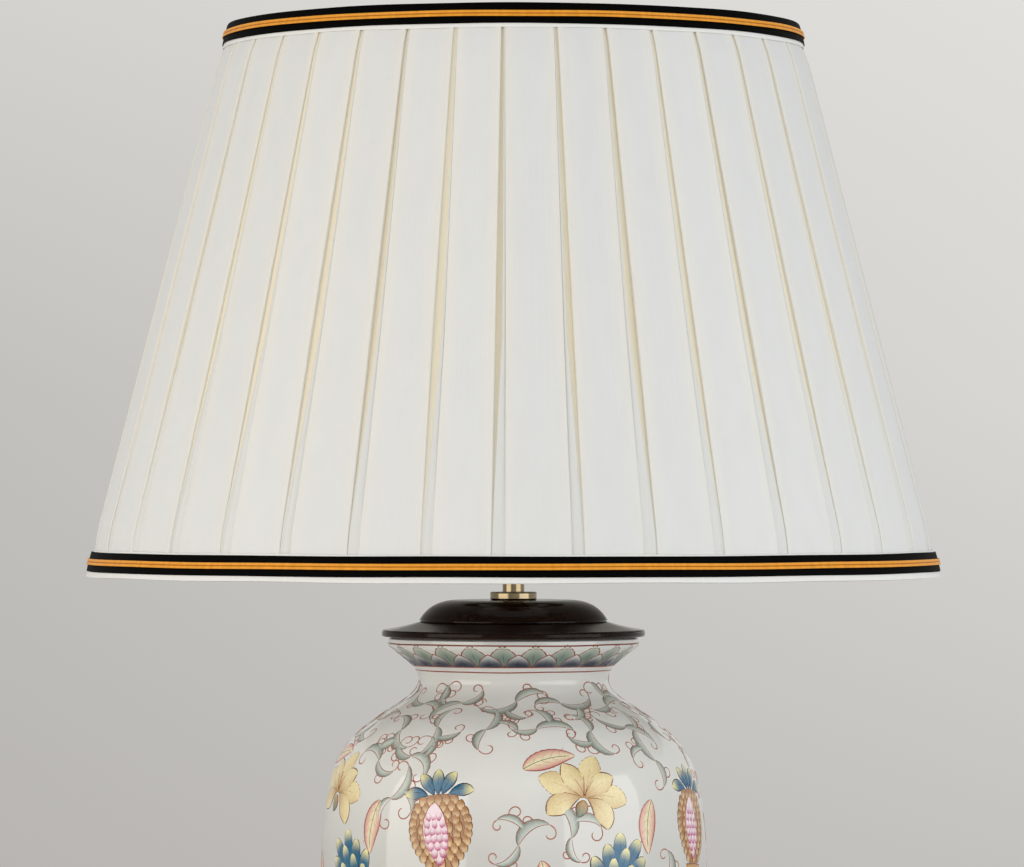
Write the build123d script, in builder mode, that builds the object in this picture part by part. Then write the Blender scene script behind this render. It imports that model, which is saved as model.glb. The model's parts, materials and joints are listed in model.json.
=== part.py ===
from build123d import *
import os
from math import atan2, cos, degrees, hypot, isclose, radians, sin, sqrt

# Table lamp: a glazed ceramic jar on a turned wooden base, with a pleated cloth shade.
# Millimetres, +Z up, origin on the table under the middle of the base, the front faces -Y.

os.makedirs("parts", exist_ok=True)

# Clearances
turn_gap = 0.3  # between pieces that turn, lift or slide on each other
thread_gap = 0.1  # radial, where a plain bore stands for a thread
shaft_gap = 0.08  # radial, round the switch shaft
wire_gap = 0.2  # between soldered wires and between nested thin shells
cloth_gap = 0.2  # between layers of cloth, tape and frame wire

# Threaded tube that clamps the lamp together
tube_radius = 5.0
tube_bore_radius = 3.25
tube_tail = 3.0  # below the nut
tube_grip = 7.0  # into the lampholder

# Base
felt_thickness = 2.0
felt_inset = 4.0
base_radius = 86.0
base_height = 30.0
base_band_height = 14.0
base_edge_round = 2.0
base_step = 3.0
base_bead_height = 6.0
base_ledge = 3.0  # of the bead beyond the foot of the jar
recess_radius = 26.0
recess_depth = 16.0
washer_radius = 15.0
washer_thickness = 1.6
nut_width = 17.0
nut_thickness = 5.0

# Cable inlet at the back of the base
cable_bore_radius = 3.7
grommet_wall = 0.9
grommet_length = 14.0
grommet_flange_radius = 5.8
grommet_flange_thickness = 1.5

# Jar
vase_height = 372.6
vase_wall = 7.0
vase_floor = 10.0
lip_radius = 67.2
lip_round = 1.6
lip_height = 4.6
neck_radius = 50.9
neck_drop = 21.5  # below the rim
belly_radius = 103.3
belly_drop = 126.5  # below the rim
waist_radius = 64.0
waist_height = 30.5  # above the foot
foot_radius = 68.0
foot_height = 6.0
foot_ring_width = 10.0
foot_recess = 5.0
gasket_thickness = 0.4
gasket_inset = 0.5

# Wooden cap
cap_height = 19.6
cap_rim_radius = 70.6
cap_rim_height = 3.7
cap_rim_round = 1.2
cap_waist_radius = 50.6
cap_waist_height = 8.8
quirk_depth = 0.8
quirk_height = 0.6
cap_flat_radius = 30.0
spigot_depth = 3.5
spigot_gap = 1.5

# Brass collar and sleeve
collar_radius = 12.5
collar_height = 4.3
collar_round = 0.8
sleeve_wall = 0.75
sleeve_height = 16.0

# Harp and its saddle
saddle_thickness = 1.5
saddle_width = 12.0
prong_thickness = 1.5
prong_width = 5.0
prong_height = 16.0
harp_wire_radius = 2.0
harp_leg_x = 29.6
harp_leg_height = 46.0
harp_bulge_x = 57.0
harp_flare_height = 34.0
harp_shoulder_height = 62.0
harp_crown_x = 14.0
harp_side_bend = 40.0
harp_crown_bend = 12.0
boss_radius = 6.0
boss_height = 5.0
stud_radius = 3.175
stud_length = 14.0
stud_flange_radius = 9.0
stud_flange_thickness = 2.0
shank_radius = 2.4
ferrule_wall = 0.8
ferrule_length = 14.0

# Lampholder with a turn switch
socket_wall = 0.8
socket_bush_radius = 7.5
socket_bush_height = 8.0
socket_cone_height = 7.0
socket_rim_height = 7.0
socket_radius = 17.8
liner_thickness = 0.8
block_height = 18.0
screw_shell_wall = 0.7
screw_shell_height = 24.0
shell_margin = 2.0  # of the outer shell above the screw shell
contact_radius = 4.0
contact_height = 2.5
terminal_radius = 1.75
terminal_length = 6.0
terminal_head_radius = 3.0
terminal_head_height = 2.0
terminal_x = 9.5
set_screw_radius = 1.5
set_screw_proud = 1.2
key_radius = 2.0
key_rise = 11.0  # above the bottom of the switch block
key_insert = 9.0
key_reach = 14.0
key_stand = 6.0
paddle_barrel_radius = 3.6
paddle_length = 14.0
paddle_width = 15.0
paddle_thickness = 3.0

# Bulb
bulb_contact_height = 1.2
bulb_insulator_height = 3.0
bulb_insulator_radius = 10.5
bulb_cap_radius = 12.9
bulb_cap_height = 21.0
bulb_cap_wall = 0.5
bulb_thread_gap = 0.4
bulb_collar_radius = 14.0
bulb_collar_height = 35.0
bulb_spigot = 8.0
bulb_radius = 30.0
bulb_side_height = 16.0
bulb_wall = 1.5

# Shade
shade_lift = 12.4  # above the wooden cap
shade_height = 295.6
shade_bottom_radius = 227.8
shade_top_radius = 151.8
pleat_count = 36
pleat_turn = -1.6  # degrees, of the nearest fold from the front
pleat_depth = 3.0
pleat_backing = 1.0
fold_gap_top = 0.8
fold_gap_bottom = 7.5
ring_wire_radius = 1.5
rib_wire_radius = 1.2
rib_count = 8
lining_thickness = 0.8
binding_thickness = 0.6
binding_depth = 14.4
trim_thickness = 0.6
top_trim_width = 10.8
bottom_trim_width = 10.4
top_trim_inset = 0.4
bottom_trim_inset = 3.2
braid_thickness = 0.8
braid_width = 3.2

# Fitter that carries the shade, and the finial over it
spider_drop = 21.0
hub_radius = 16.0
hub_bore_radius = 4.0
hub_thickness = 2.0
arm_radius = 1.6
arm_count = 3
finial_base_radius = 6.5
finial_base_height = 4.0
finial_neck_radius = 4.8
finial_neck_height = 3.0
finial_ball_radius = 8.0
finial_bore_margin = 0.5

# Heights of the stack, from the table up
base_bottom = felt_thickness
base_top = base_bottom + base_height
vase_bottom = base_top + gasket_thickness
vase_rim = vase_bottom + vase_height
cap_bottom = vase_rim + gasket_thickness
cap_top = cap_bottom + cap_height
collar_top = cap_top + collar_height
sleeve_top = collar_top + sleeve_height
saddle_top = sleeve_top + saddle_thickness
recess_top = base_bottom + recess_depth
washer_bottom = recess_top - washer_thickness
nut_bottom = washer_bottom - nut_thickness
shade_bottom = cap_top + shade_lift
shade_top = shade_bottom + shade_height
tube_hole_radius = tube_radius + thread_gap


def between(start, end, share):
    return start + (end - start) * share


# Felt pad under the base
with BuildPart() as base_felt:
    with BuildSketch(Plane.XY):
        Circle(base_radius - felt_inset)
    extrude(amount=felt_thickness)
base_felt.part.label = "base_felt"
export_step(base_felt.part, "parts/base_felt.step")

# Turned base: a plain band, a cove and a bead under the jar, with a recess below for the nut
band_top = base_bottom + base_band_height
bead_bottom = base_top - base_bead_height
bead_radius = foot_radius + base_ledge
inlet_z = base_bottom + base_band_height / 2
inlet_plane = Plane(origin=(0, 0, inlet_z), x_dir=(1, 0, 0), z_dir=(0, 1, 0))
inlet_face = base_radius - grommet_flange_thickness
grommet_radius = cable_bore_radius + grommet_wall
with BuildPart() as base_plinth:
    with BuildSketch(Plane.XZ):
        with BuildLine():
            Polyline(
                (bead_radius, base_top),
                (tube_hole_radius, base_top),
                (tube_hole_radius, recess_top),
                (recess_radius, recess_top),
                (recess_radius, base_bottom),
                (base_radius, base_bottom),
                (base_radius, band_top),
                (base_radius - base_step, band_top),
            )
            Spline(
                (base_radius - base_step, band_top),
                (bead_radius, bead_bottom),
                tangents=((-1, 0), (0, 1)),
            )
            ThreePointArc(
                (bead_radius, bead_bottom),
                (bead_radius + base_bead_height / 2, (bead_bottom + base_top) / 2),
                (bead_radius, base_top),
            )
        make_face()
    revolve(axis=Axis.Z)
    rim_edges = base_plinth.edges().filter_by(GeomType.CIRCLE)
    fillet(rim_edges.filter_by(lambda edge: isclose(edge.radius, base_radius)), base_edge_round)
    with BuildSketch(inlet_plane):
        Circle(grommet_radius + turn_gap)
    extrude(amount=base_radius, mode=Mode.SUBTRACT)
    with BuildSketch(inlet_plane.offset(inlet_face)):
        Circle(grommet_flange_radius + turn_gap)
    extrude(amount=base_radius - inlet_face, mode=Mode.SUBTRACT)
base_plinth.part.label = "base_plinth"
export_step(base_plinth.part, "parts/base_plinth.step")

# Steel washer and nut in the recess
with BuildPart() as base_washer:
    with BuildSketch(Plane.XY.offset(washer_bottom)):
        Circle(washer_radius)
        Circle(tube_hole_radius, mode=Mode.SUBTRACT)
    extrude(amount=washer_thickness)
base_washer.part.label = "base_washer"
export_step(base_washer.part, "parts/base_washer.step")

with BuildPart() as base_nut:
    with BuildSketch(Plane.XY.offset(nut_bottom)):
        RegularPolygon(nut_width / 2, 6, major_radius=False)
        Circle(tube_hole_radius, mode=Mode.SUBTRACT)
    extrude(amount=nut_thickness)
base_nut.part.label = "base_nut"
export_step(base_nut.part, "parts/base_nut.step")

# Rubber grommet for the cable
with BuildPart() as cable_grommet:
    with BuildSketch(inlet_plane.offset(inlet_face)):
        Circle(grommet_flange_radius)
        Circle(cable_bore_radius, mode=Mode.SUBTRACT)
    extrude(amount=grommet_flange_thickness)
    with BuildSketch(inlet_plane.offset(inlet_face)):
        Circle(grommet_radius)
        Circle(cable_bore_radius, mode=Mode.SUBTRACT)
    extrude(amount=-grommet_length)
cable_grommet.part.label = "cable_grommet"
export_step(cable_grommet.part, "parts/cable_grommet.step")

# Gasket under the foot of the jar
with BuildPart() as foot_gasket:
    with BuildSketch(Plane.XY.offset(base_top)):
        Circle(foot_radius - gasket_inset)
        Circle(foot_radius - foot_ring_width + gasket_inset, mode=Mode.SUBTRACT)
    extrude(amount=gasket_thickness)
foot_gasket.part.label = "foot_gasket"
export_step(foot_gasket.part, "parts/foot_gasket.step")

# Jar: shares of the way from lip to neck, neck to belly and belly to waist, across and down
flare_shares = ((0.52, 0.37), (0.82, 0.63))
shoulder_shares = ((0.306, 0.162), (0.677, 0.307), (0.883, 0.471), (0.975, 0.713))
taper_shares = ((0.40, 0.5),)
lip_point = (lip_radius, vase_rim - lip_height)
neck_point = (neck_radius, vase_rim - neck_drop)
belly_point = (belly_radius, vase_rim - belly_drop)
waist_point = (waist_radius, vase_bottom + waist_height)
foot_point = (foot_radius, vase_bottom + foot_height)


def stretch(start, end, shares):
    return [(between(start[0], end[0], a), between(start[1], end[1], d)) for a, d in shares]


upper_line = [
    lip_point,
    *stretch(lip_point, neck_point, flare_shares),
    neck_point,
    *stretch(neck_point, belly_point, shoulder_shares),
    belly_point,
]
lower_line = [belly_point, *stretch(belly_point, waist_point, taper_shares), waist_point]
inner_upper_line = [(radius - vase_wall, height) for radius, height in reversed(upper_line)]
inner_lower_line = [(radius - vase_wall, height) for radius, height in reversed(lower_line)]
mouth_radius = lip_radius - vase_wall
well_radius = foot_radius - foot_ring_width
well_top = vase_bottom + foot_recess
floor_top = well_top + vase_floor
with BuildPart() as vase:
    with BuildSketch(Plane.XZ):
        with BuildLine():
            Polyline(
                (mouth_radius, lip_point[1]),
                (mouth_radius, vase_rim),
                (lip_radius - lip_round, vase_rim),
            )
            RadiusArc(
                (lip_radius - lip_round, vase_rim),
                (lip_radius, vase_rim - lip_round),
                lip_round,
            )
            Line((lip_radius, vase_rim - lip_round), lip_point)
            Spline(*upper_line, tangents=((-1, -0.7), (0, -1)))
            Spline(*lower_line, tangents=((0, -1), (0, -1)))
            Spline(waist_point, foot_point, tangents=((0, -1), (0.5, -1)))
            Polyline(
                foot_point,
                (foot_radius, vase_bottom),
                (well_radius, vase_bottom),
                (well_radius, well_top),
                (tube_hole_radius, well_top),
                (tube_hole_radius, floor_top),
                (waist_radius - vase_wall, floor_top),
                inner_lower_line[0],
            )
            Spline(*inner_lower_line, tangents=((0, 1), (0, 1)))
            Spline(*inner_upper_line, tangents=((0, 1), (1, 0.7)))
        make_face()
    revolve(axis=Axis.Z)
vase.part.label = "vase"
export_step(vase.part, "parts/vase.step")

# Gasket between the rim of the jar and the cap
with BuildPart() as neck_gasket:
    with BuildSketch(Plane.XY.offset(vase_rim)):
        Circle(lip_radius - lip_round - gasket_inset)
        Circle(mouth_radius + gasket_inset, mode=Mode.SUBTRACT)
    extrude(amount=gasket_thickness)
neck_gasket.part.label = "neck_gasket"
export_step(neck_gasket.part, "parts/neck_gasket.step")

# Wooden cap: a rim with rounded edges, a hollow skirt, and a low dome with a quirk under its edge
spigot_radius = mouth_radius - spigot_gap
rim_edge = cap_rim_radius - cap_rim_round
rim_top = cap_bottom + cap_rim_height
cap_waist_z = cap_bottom + cap_waist_height
quirk_radius = cap_waist_radius - quirk_depth
quirk_bottom = cap_waist_z - quirk_height
with BuildPart() as vase_cap:
    with BuildSketch(Plane.XZ):
        with BuildLine():
            Polyline(
                (cap_flat_radius, cap_top),
                (tube_hole_radius, cap_top),
                (tube_hole_radius, cap_bottom - spigot_depth),
                (spigot_radius, cap_bottom - spigot_depth),
                (spigot_radius, cap_bottom),
                (rim_edge, cap_bottom),
            )
            RadiusArc(
                (rim_edge, cap_bottom),
                (cap_rim_radius, cap_bottom + cap_rim_round),
                -cap_rim_round,
            )
            Line((cap_rim_radius, cap_bottom + cap_rim_round), (cap_rim_radius, rim_top - cap_rim_round))
            RadiusArc(
                (cap_rim_radius, rim_top - cap_rim_round),
                (rim_edge, rim_top),
                -cap_rim_round,
            )
            Spline(
                (rim_edge, rim_top),
                (quirk_radius, quirk_bottom),
                tangents=((-1, 0.15), (-1, 0.35)),
            )
            Polyline(
                (quirk_radius, quirk_bottom),
                (quirk_radius, cap_waist_z),
                (cap_waist_radius, cap_waist_z),
            )
            Spline(
                (cap_waist_radius, cap_waist_z),
                (cap_flat_radius, cap_top),
                tangents=((-0.5, 0.87), (-1, 0)),
            )
        make_face()
    revolve(axis=Axis.Z)
vase_cap.part.label = "vase_cap"
export_step(vase_cap.part, "parts/vase_cap.step")

# Hollow threaded tube from the nut to the lampholder
tube_bottom = nut_bottom - tube_tail
tube_top = saddle_top + tube_grip
with BuildPart() as threaded_tube:
    with BuildSketch(Plane.XY.offset(tube_bottom)):
        Circle(tube_radius)
        Circle(tube_bore_radius, mode=Mode.SUBTRACT)
    extrude(amount=tube_top - tube_bottom)
threaded_tube.part.label = "threaded_tube"
export_step(threaded_tube.part, "parts/threaded_tube.step")

# Brass collar on the cap, and the sleeve over it
with BuildPart() as brass_collar:
    with BuildSketch(Plane.XY.offset(cap_top)):
        Circle(collar_radius)
        Circle(tube_hole_radius, mode=Mode.SUBTRACT)
    extrude(amount=collar_height)
    collar_edges = brass_collar.edges().filter_by(GeomType.CIRCLE)
    fillet(collar_edges.filter_by(lambda edge: isclose(edge.radius, collar_radius)), collar_round)
brass_collar.part.label = "brass_collar"
export_step(brass_collar.part, "parts/brass_collar.step")

with BuildPart() as brass_sleeve:
    with BuildSketch(Plane.XY.offset(collar_top)):
        Circle(tube_hole_radius + sleeve_wall)
        Circle(tube_hole_radius, mode=Mode.SUBTRACT)
    extrude(amount=sleeve_height)
brass_sleeve.part.label = "brass_sleeve"
export_step(brass_sleeve.part, "parts/brass_sleeve.step")

# Saddle: a brass strip clamped under the lampholder, with a prong beside each harp leg
prong_inner_x = harp_leg_x + harp_wire_radius + wire_gap
prong_outer_x = prong_inner_x + prong_thickness
prong_x = (prong_inner_x + prong_outer_x) / 2
with BuildPart() as harp_saddle:
    with BuildSketch(Plane.XY.offset(sleeve_top)):
        Rectangle(2 * prong_outer_x, saddle_width)
        Circle(tube_hole_radius, mode=Mode.SUBTRACT)
    extrude(amount=saddle_thickness)
    with BuildSketch(Plane.XY.offset(saddle_top)):
        with Locations((-prong_x, 0), (prong_x, 0)):
            Rectangle(prong_thickness, prong_width)
    extrude(amount=prong_height)
harp_saddle.part.label = "harp_saddle"
export_step(harp_saddle.part, "parts/harp_saddle.step")

# Harp: a bent wire round the bulb, with a flat boss at its crown
hub_bottom = shade_top - spider_drop
stud_flange_top = hub_bottom - turn_gap
boss_top = stud_flange_top - stud_flange_thickness
boss_bottom = boss_top - boss_height
crown_z = (boss_top + boss_bottom) / 2
leg_top = saddle_top + harp_leg_height
harp_half = [
    (harp_leg_x, saddle_top),
    (harp_leg_x, leg_top),
    (harp_bulge_x, leg_top + harp_flare_height),
    (harp_bulge_x, crown_z - harp_shoulder_height),
    (harp_crown_x, crown_z),
]
harp_points = [(-x, z) for x, z in harp_half] + harp_half[::-1]
harp_bends = [harp_side_bend, harp_side_bend, harp_side_bend, harp_crown_bend]
with BuildPart() as harp:
    with BuildLine(Plane.XZ) as harp_path:
        FilletPolyline(*harp_points, radius=harp_bends + harp_bends[::-1])
    with BuildSketch(Plane.XY.offset(saddle_top)):
        with Locations((-harp_leg_x, 0)):
            Circle(harp_wire_radius)
    sweep(path=harp_path.wires()[0])
    with BuildSketch(Plane.XY.offset(boss_bottom)):
        Circle(boss_radius)
    extrude(amount=boss_height)
    with BuildSketch(Plane.XY.offset(boss_bottom)):
        Circle(shank_radius + thread_gap)
    extrude(amount=boss_height, mode=Mode.SUBTRACT)
harp.part.label = "harp"
export_step(harp.part, "parts/harp.step")

# Stud riveted into the boss, with the flange that the shade rests on
with BuildPart() as harp_stud:
    with BuildSketch(Plane.XY.offset(boss_bottom)):
        Circle(shank_radius)
    extrude(amount=boss_height)
    with BuildSketch(Plane.XY.offset(boss_top)):
        Circle(stud_flange_radius)
    extrude(amount=stud_flange_thickness)
    with BuildSketch(Plane.XY.offset(stud_flange_top)):
        Circle(stud_radius)
    extrude(amount=stud_length)
harp_stud.part.label = "harp_stud"
export_step(harp_stud.part, "parts/harp_stud.step")

# Ferrules that lock each harp leg to its prong
ferrule_x = (harp_leg_x - harp_wire_radius + prong_outer_x) / 2
ferrule_bore = hypot(prong_outer_x - ferrule_x, prong_width / 2) + turn_gap
for side, name in ((-1, "ferrule_left"), (1, "ferrule_right")):
    with BuildPart() as ferrule:
        with BuildSketch(Plane.XY.offset(saddle_top + turn_gap)):
            with Locations((side * ferrule_x, 0)):
                Circle(ferrule_bore + ferrule_wall)
                Circle(ferrule_bore, mode=Mode.SUBTRACT)
        extrude(amount=ferrule_length)
    ferrule.part.label = name
    export_step(ferrule.part, f"parts/{name}.step")

# Lampholder cap: a bush on the tube, a cone and a rim round the outer shell
bush_top = saddle_top + socket_bush_height
cup_bottom = bush_top + socket_cone_height
cup_top = cup_bottom + socket_rim_height
cup_bore = socket_radius + wire_gap
cup_radius = cup_bore + socket_wall
set_screw_z = saddle_top + socket_bush_height / 2
set_screw_plane = Plane(origin=(0, 0, set_screw_z), x_dir=(1, 0, 0), z_dir=(0, 1, 0))
with BuildPart() as socket_cap:
    with BuildSketch(Plane.XZ):
        with BuildLine():
            Polyline(
                (tube_hole_radius, saddle_top),
                (socket_bush_radius, saddle_top),
                (socket_bush_radius, bush_top),
                (cup_radius, cup_bottom),
                (cup_radius, cup_top),
                (cup_bore, cup_top),
                (cup_bore, cup_bottom),
                (socket_bush_radius, bush_top + socket_wall),
                (tube_hole_radius, bush_top + socket_wall),
                close=True,
            )
        make_face()
    revolve(axis=Axis.Z)
    with BuildSketch(set_screw_plane):
        Circle(set_screw_radius + thread_gap)
    extrude(amount=socket_bush_radius + set_screw_proud, mode=Mode.SUBTRACT)
socket_cap.part.label = "socket_cap"
export_step(socket_cap.part, "parts/socket_cap.step")

# Set screw through the bush, against the tube
with BuildPart() as socket_set_screw:
    with BuildSketch(set_screw_plane.offset(tube_hole_radius)):
        Circle(set_screw_radius)
    extrude(amount=socket_bush_radius + set_screw_proud - tube_hole_radius)
socket_set_screw.part.label = "socket_set_screw"
export_step(socket_set_screw.part, "parts/socket_set_screw.step")

# Switch block: moulded insulator with the terminals below and a cross hole for the switch shaft
liner_outer = socket_radius - socket_wall - wire_gap
liner_inner = liner_outer - liner_thickness
block_radius = liner_inner - wire_gap
block_bottom = cup_bottom + wire_gap
block_top = block_bottom + block_height
key_z = block_bottom + key_rise
key_plane = Plane(origin=(0, 0, key_z), x_dir=(1, 0, 0), z_dir=(0, -1, 0))
key_inner = block_radius - key_insert
terminal_places = [(-terminal_x, 0), (terminal_x, 0)]
with BuildPart() as switch_block:
    with BuildSketch(Plane.XY.offset(block_bottom)):
        Circle(block_radius)
    extrude(amount=block_height)
    with BuildSketch(key_plane.offset(key_inner - turn_gap)):
        Circle(key_radius + shaft_gap)
    extrude(amount=block_radius, mode=Mode.SUBTRACT)
    with BuildSketch(Plane.XY.offset(block_bottom)):
        with Locations(*terminal_places):
            Circle(terminal_radius + thread_gap)
    extrude(amount=terminal_length, mode=Mode.SUBTRACT)
switch_block.part.label = "switch_block"
export_step(switch_block.part, "parts/switch_block.step")

with BuildPart() as terminal_screws:
    with BuildSketch(Plane.XY.offset(block_bottom)):
        with Locations(*terminal_places):
            Circle(terminal_radius)
    extrude(amount=terminal_length)
    with BuildSketch(Plane.XY.offset(block_bottom)):
        with Locations(*terminal_places):
            Circle(terminal_head_radius)
    extrude(amount=-terminal_head_height)
terminal_screws.part.label = "terminal_screws"
export_step(terminal_screws.part, "parts/terminal_screws.step")

# Contacts for the bulb
screw_shell_bore = bulb_cap_radius + bulb_thread_gap
with BuildPart() as screw_shell:
    with BuildSketch(Plane.XY.offset(block_top)):
        Circle(screw_shell_bore + screw_shell_wall)
        Circle(screw_shell_bore, mode=Mode.SUBTRACT)
    extrude(amount=screw_shell_height)
screw_shell.part.label = "screw_shell"
export_step(screw_shell.part, "parts/screw_shell.step")

contact_top = block_top + contact_height
with BuildPart() as centre_contact:
    with BuildSketch(Plane.XY.offset(block_top)):
        Circle(contact_radius)
    extrude(amount=contact_height)
centre_contact.part.label = "centre_contact"
export_step(centre_contact.part, "parts/centre_contact.step")

# Insulating liner and brass outer shell, both with a hole for the switch shaft
shell_top = block_top + screw_shell_height + shell_margin
key_hole_radius = key_radius + 2 * turn_gap
with BuildPart() as socket_liner:
    with BuildSketch(Plane.XY.offset(block_bottom)):
        Circle(liner_outer)
        Circle(liner_inner, mode=Mode.SUBTRACT)
    extrude(amount=shell_top - socket_wall - block_bottom)
    with BuildSketch(key_plane):
        Circle(key_hole_radius)
    extrude(amount=socket_radius, mode=Mode.SUBTRACT)
socket_liner.part.label = "socket_liner"
export_step(socket_liner.part, "parts/socket_liner.step")

with BuildPart() as socket_shell:
    with BuildSketch(Plane.XY.offset(block_bottom)):
        Circle(socket_radius)
        Circle(socket_radius - socket_wall, mode=Mode.SUBTRACT)
    extrude(amount=shell_top - block_bottom)
    with BuildSketch(key_plane):
        Circle(key_hole_radius)
    extrude(amount=socket_radius, mode=Mode.SUBTRACT)
socket_shell.part.label = "socket_shell"
export_step(socket_shell.part, "parts/socket_shell.step")

# Switch shaft, and the paddle that turns it
key_outer = socket_radius + key_reach
paddle_inner = socket_radius + key_stand
wing_inner = (paddle_inner + key_outer) / 2
with BuildPart() as key_shaft:
    with BuildSketch(key_plane.offset(key_inner)):
        Circle(key_radius)
    extrude(amount=key_outer - key_inner)
key_shaft.part.label = "key_shaft"
export_step(key_shaft.part, "parts/key_shaft.step")

with BuildPart() as key_paddle:
    with BuildSketch(key_plane.offset(paddle_inner)):
        Circle(paddle_barrel_radius)
    extrude(amount=paddle_length)
    with BuildSketch(key_plane.offset(wing_inner)):
        RectangleRounded(paddle_width, paddle_thickness, paddle_thickness / 3)
    extrude(amount=paddle_inner + paddle_length - wing_inner)
    with BuildSketch(key_plane.offset(paddle_inner)):
        Circle(key_radius + thread_gap)
    extrude(amount=key_outer - paddle_inner, mode=Mode.SUBTRACT)
key_paddle.part.label = "key_paddle"
export_step(key_paddle.part, "parts/key_paddle.step")

# Bulb, from its contact up
bulb_bottom = contact_top + turn_gap
insulator_bottom = bulb_bottom + bulb_contact_height
bulb_cap_bottom = insulator_bottom + bulb_insulator_height
bulb_cap_top = bulb_cap_bottom + bulb_cap_height
with BuildPart() as bulb_contact:
    with BuildSketch(Plane.XY.offset(bulb_bottom)):
        Circle(contact_radius)
    extrude(amount=bulb_contact_height)
bulb_contact.part.label = "bulb_contact"
export_step(bulb_contact.part, "parts/bulb_contact.step")

with BuildPart() as bulb_insulator:
    with BuildSketch(Plane.XY.offset(insulator_bottom)):
        Circle(contact_radius)
    with BuildSketch(Plane.XY.offset(bulb_cap_bottom)):
        Circle(bulb_insulator_radius)
    loft(ruled=True)
bulb_insulator.part.label = "bulb_insulator"
export_step(bulb_insulator.part, "parts/bulb_insulator.step")

with BuildPart() as bulb_screw_cap:
    with BuildSketch(Plane.XY.offset(bulb_cap_bottom)):
        Circle(bulb_cap_radius)
    extrude(amount=bulb_cap_height)
    with BuildSketch(Plane.XY.offset(bulb_cap_bottom + bulb_cap_wall)):
        Circle(bulb_cap_radius - bulb_cap_wall)
    extrude(amount=bulb_cap_height, mode=Mode.SUBTRACT)
bulb_screw_cap.part.label = "bulb_screw_cap"
export_step(bulb_screw_cap.part, "parts/bulb_screw_cap.step")

bulb_collar_top = bulb_cap_top + bulb_collar_height
with BuildPart() as bulb_collar:
    with BuildSketch(Plane.XZ):
        with BuildLine():
            Polyline(
                (bulb_radius, bulb_collar_top),
                (0, bulb_collar_top),
                (0, bulb_cap_top - bulb_spigot),
                (bulb_cap_radius - bulb_cap_wall - wire_gap, bulb_cap_top - bulb_spigot),
                (bulb_cap_radius - bulb_cap_wall - wire_gap, bulb_cap_top),
                (bulb_collar_radius, bulb_cap_top),
            )
            Spline(
                (bulb_collar_radius, bulb_cap_top),
                (bulb_radius, bulb_collar_top),
                tangents=((0.2, 1), (0.25, 1)),
            )
        make_face()
    revolve(axis=Axis.Z)
bulb_collar.part.label = "bulb_collar"
export_step(bulb_collar.part, "parts/bulb_collar.step")

# Opal cover of the bulb: a short cylinder under half a sphere
bulb_centre = bulb_collar_top + bulb_side_height
bulb_inner_radius = bulb_radius - bulb_wall
with BuildPart() as bulb_dome:
    with BuildSketch(Plane.XZ):
        with BuildLine():
            Line((bulb_inner_radius, bulb_collar_top), (bulb_radius, bulb_collar_top))
            Line((bulb_radius, bulb_collar_top), (bulb_radius, bulb_centre))
            RadiusArc((bulb_radius, bulb_centre), (0, bulb_centre + bulb_radius), -bulb_radius)
            Line((0, bulb_centre + bulb_radius), (0, bulb_centre + bulb_inner_radius))
            RadiusArc(
                (0, bulb_centre + bulb_inner_radius),
                (bulb_inner_radius, bulb_centre),
                bulb_inner_radius,
            )
            Line((bulb_inner_radius, bulb_centre), (bulb_inner_radius, bulb_collar_top))
        make_face()
    revolve(axis=Axis.Z)
bulb_dome.part.label = "bulb_dome"
export_step(bulb_dome.part, "parts/bulb_dome.step")

# Finial that holds the shade down on the stud
finial_bottom = hub_bottom + hub_thickness + turn_gap
finial_base_top = finial_bottom + finial_base_height
finial_neck_top = finial_base_top + finial_neck_height
ball_z = finial_neck_top + sqrt(finial_ball_radius**2 - finial_neck_radius**2)
finial_bore_top = stud_flange_top + stud_length + finial_bore_margin
with BuildPart() as finial:
    with BuildSketch(Plane.XZ):
        with BuildLine():
            Polyline(
                (0, ball_z + finial_ball_radius),
                (0, finial_bottom),
                (finial_base_radius, finial_bottom),
                (finial_base_radius, finial_base_top),
                (finial_neck_radius, finial_base_top),
                (finial_neck_radius, finial_neck_top),
            )
            ThreePointArc(
                (finial_neck_radius, finial_neck_top),
                (finial_ball_radius, ball_z),
                (0, ball_z + finial_ball_radius),
            )
        make_face()
    revolve(axis=Axis.Z)
    with BuildSketch(Plane.XY.offset(finial_bottom)):
        Circle(stud_radius + turn_gap)
    extrude(amount=finial_bore_top - finial_bottom, mode=Mode.SUBTRACT)
finial.part.label = "finial"
export_step(finial.part, "parts/finial.step")


# The shade's wall is a cone: offsets are measured outwards, level, from the face of the pleats
def wall_radius(height):
    return between(shade_bottom_radius, shade_top_radius, (height - shade_bottom) / shade_height)


def on_wall(offset, height):
    return (wall_radius(height) + offset, height)


pleat_inner = -pleat_depth - pleat_backing
frame_offset = pleat_inner - cloth_gap - ring_wire_radius
lining_face = frame_offset - ring_wire_radius - cloth_gap
lining_inner = lining_face - lining_thickness
edge_inset = binding_thickness + cloth_gap
top_ring_z = shade_top - edge_inset - ring_wire_radius
bottom_ring_z = shade_bottom + edge_inset + ring_wire_radius
top_ring_place = on_wall(frame_offset, top_ring_z)
bottom_ring_place = on_wall(frame_offset, bottom_ring_z)

# Wire rings
with BuildPart() as shade_top_ring:
    with BuildSketch(Plane.XZ):
        with Locations(top_ring_place):
            Circle(ring_wire_radius)
    revolve(axis=Axis.Z)
shade_top_ring.part.label = "shade_top_ring"
export_step(shade_top_ring.part, "parts/shade_top_ring.step")

with BuildPart() as shade_bottom_ring:
    with BuildSketch(Plane.XZ):
        with Locations(bottom_ring_place):
            Circle(ring_wire_radius)
    revolve(axis=Axis.Z)
shade_bottom_ring.part.label = "shade_bottom_ring"
export_step(shade_bottom_ring.part, "parts/shade_bottom_ring.step")

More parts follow.
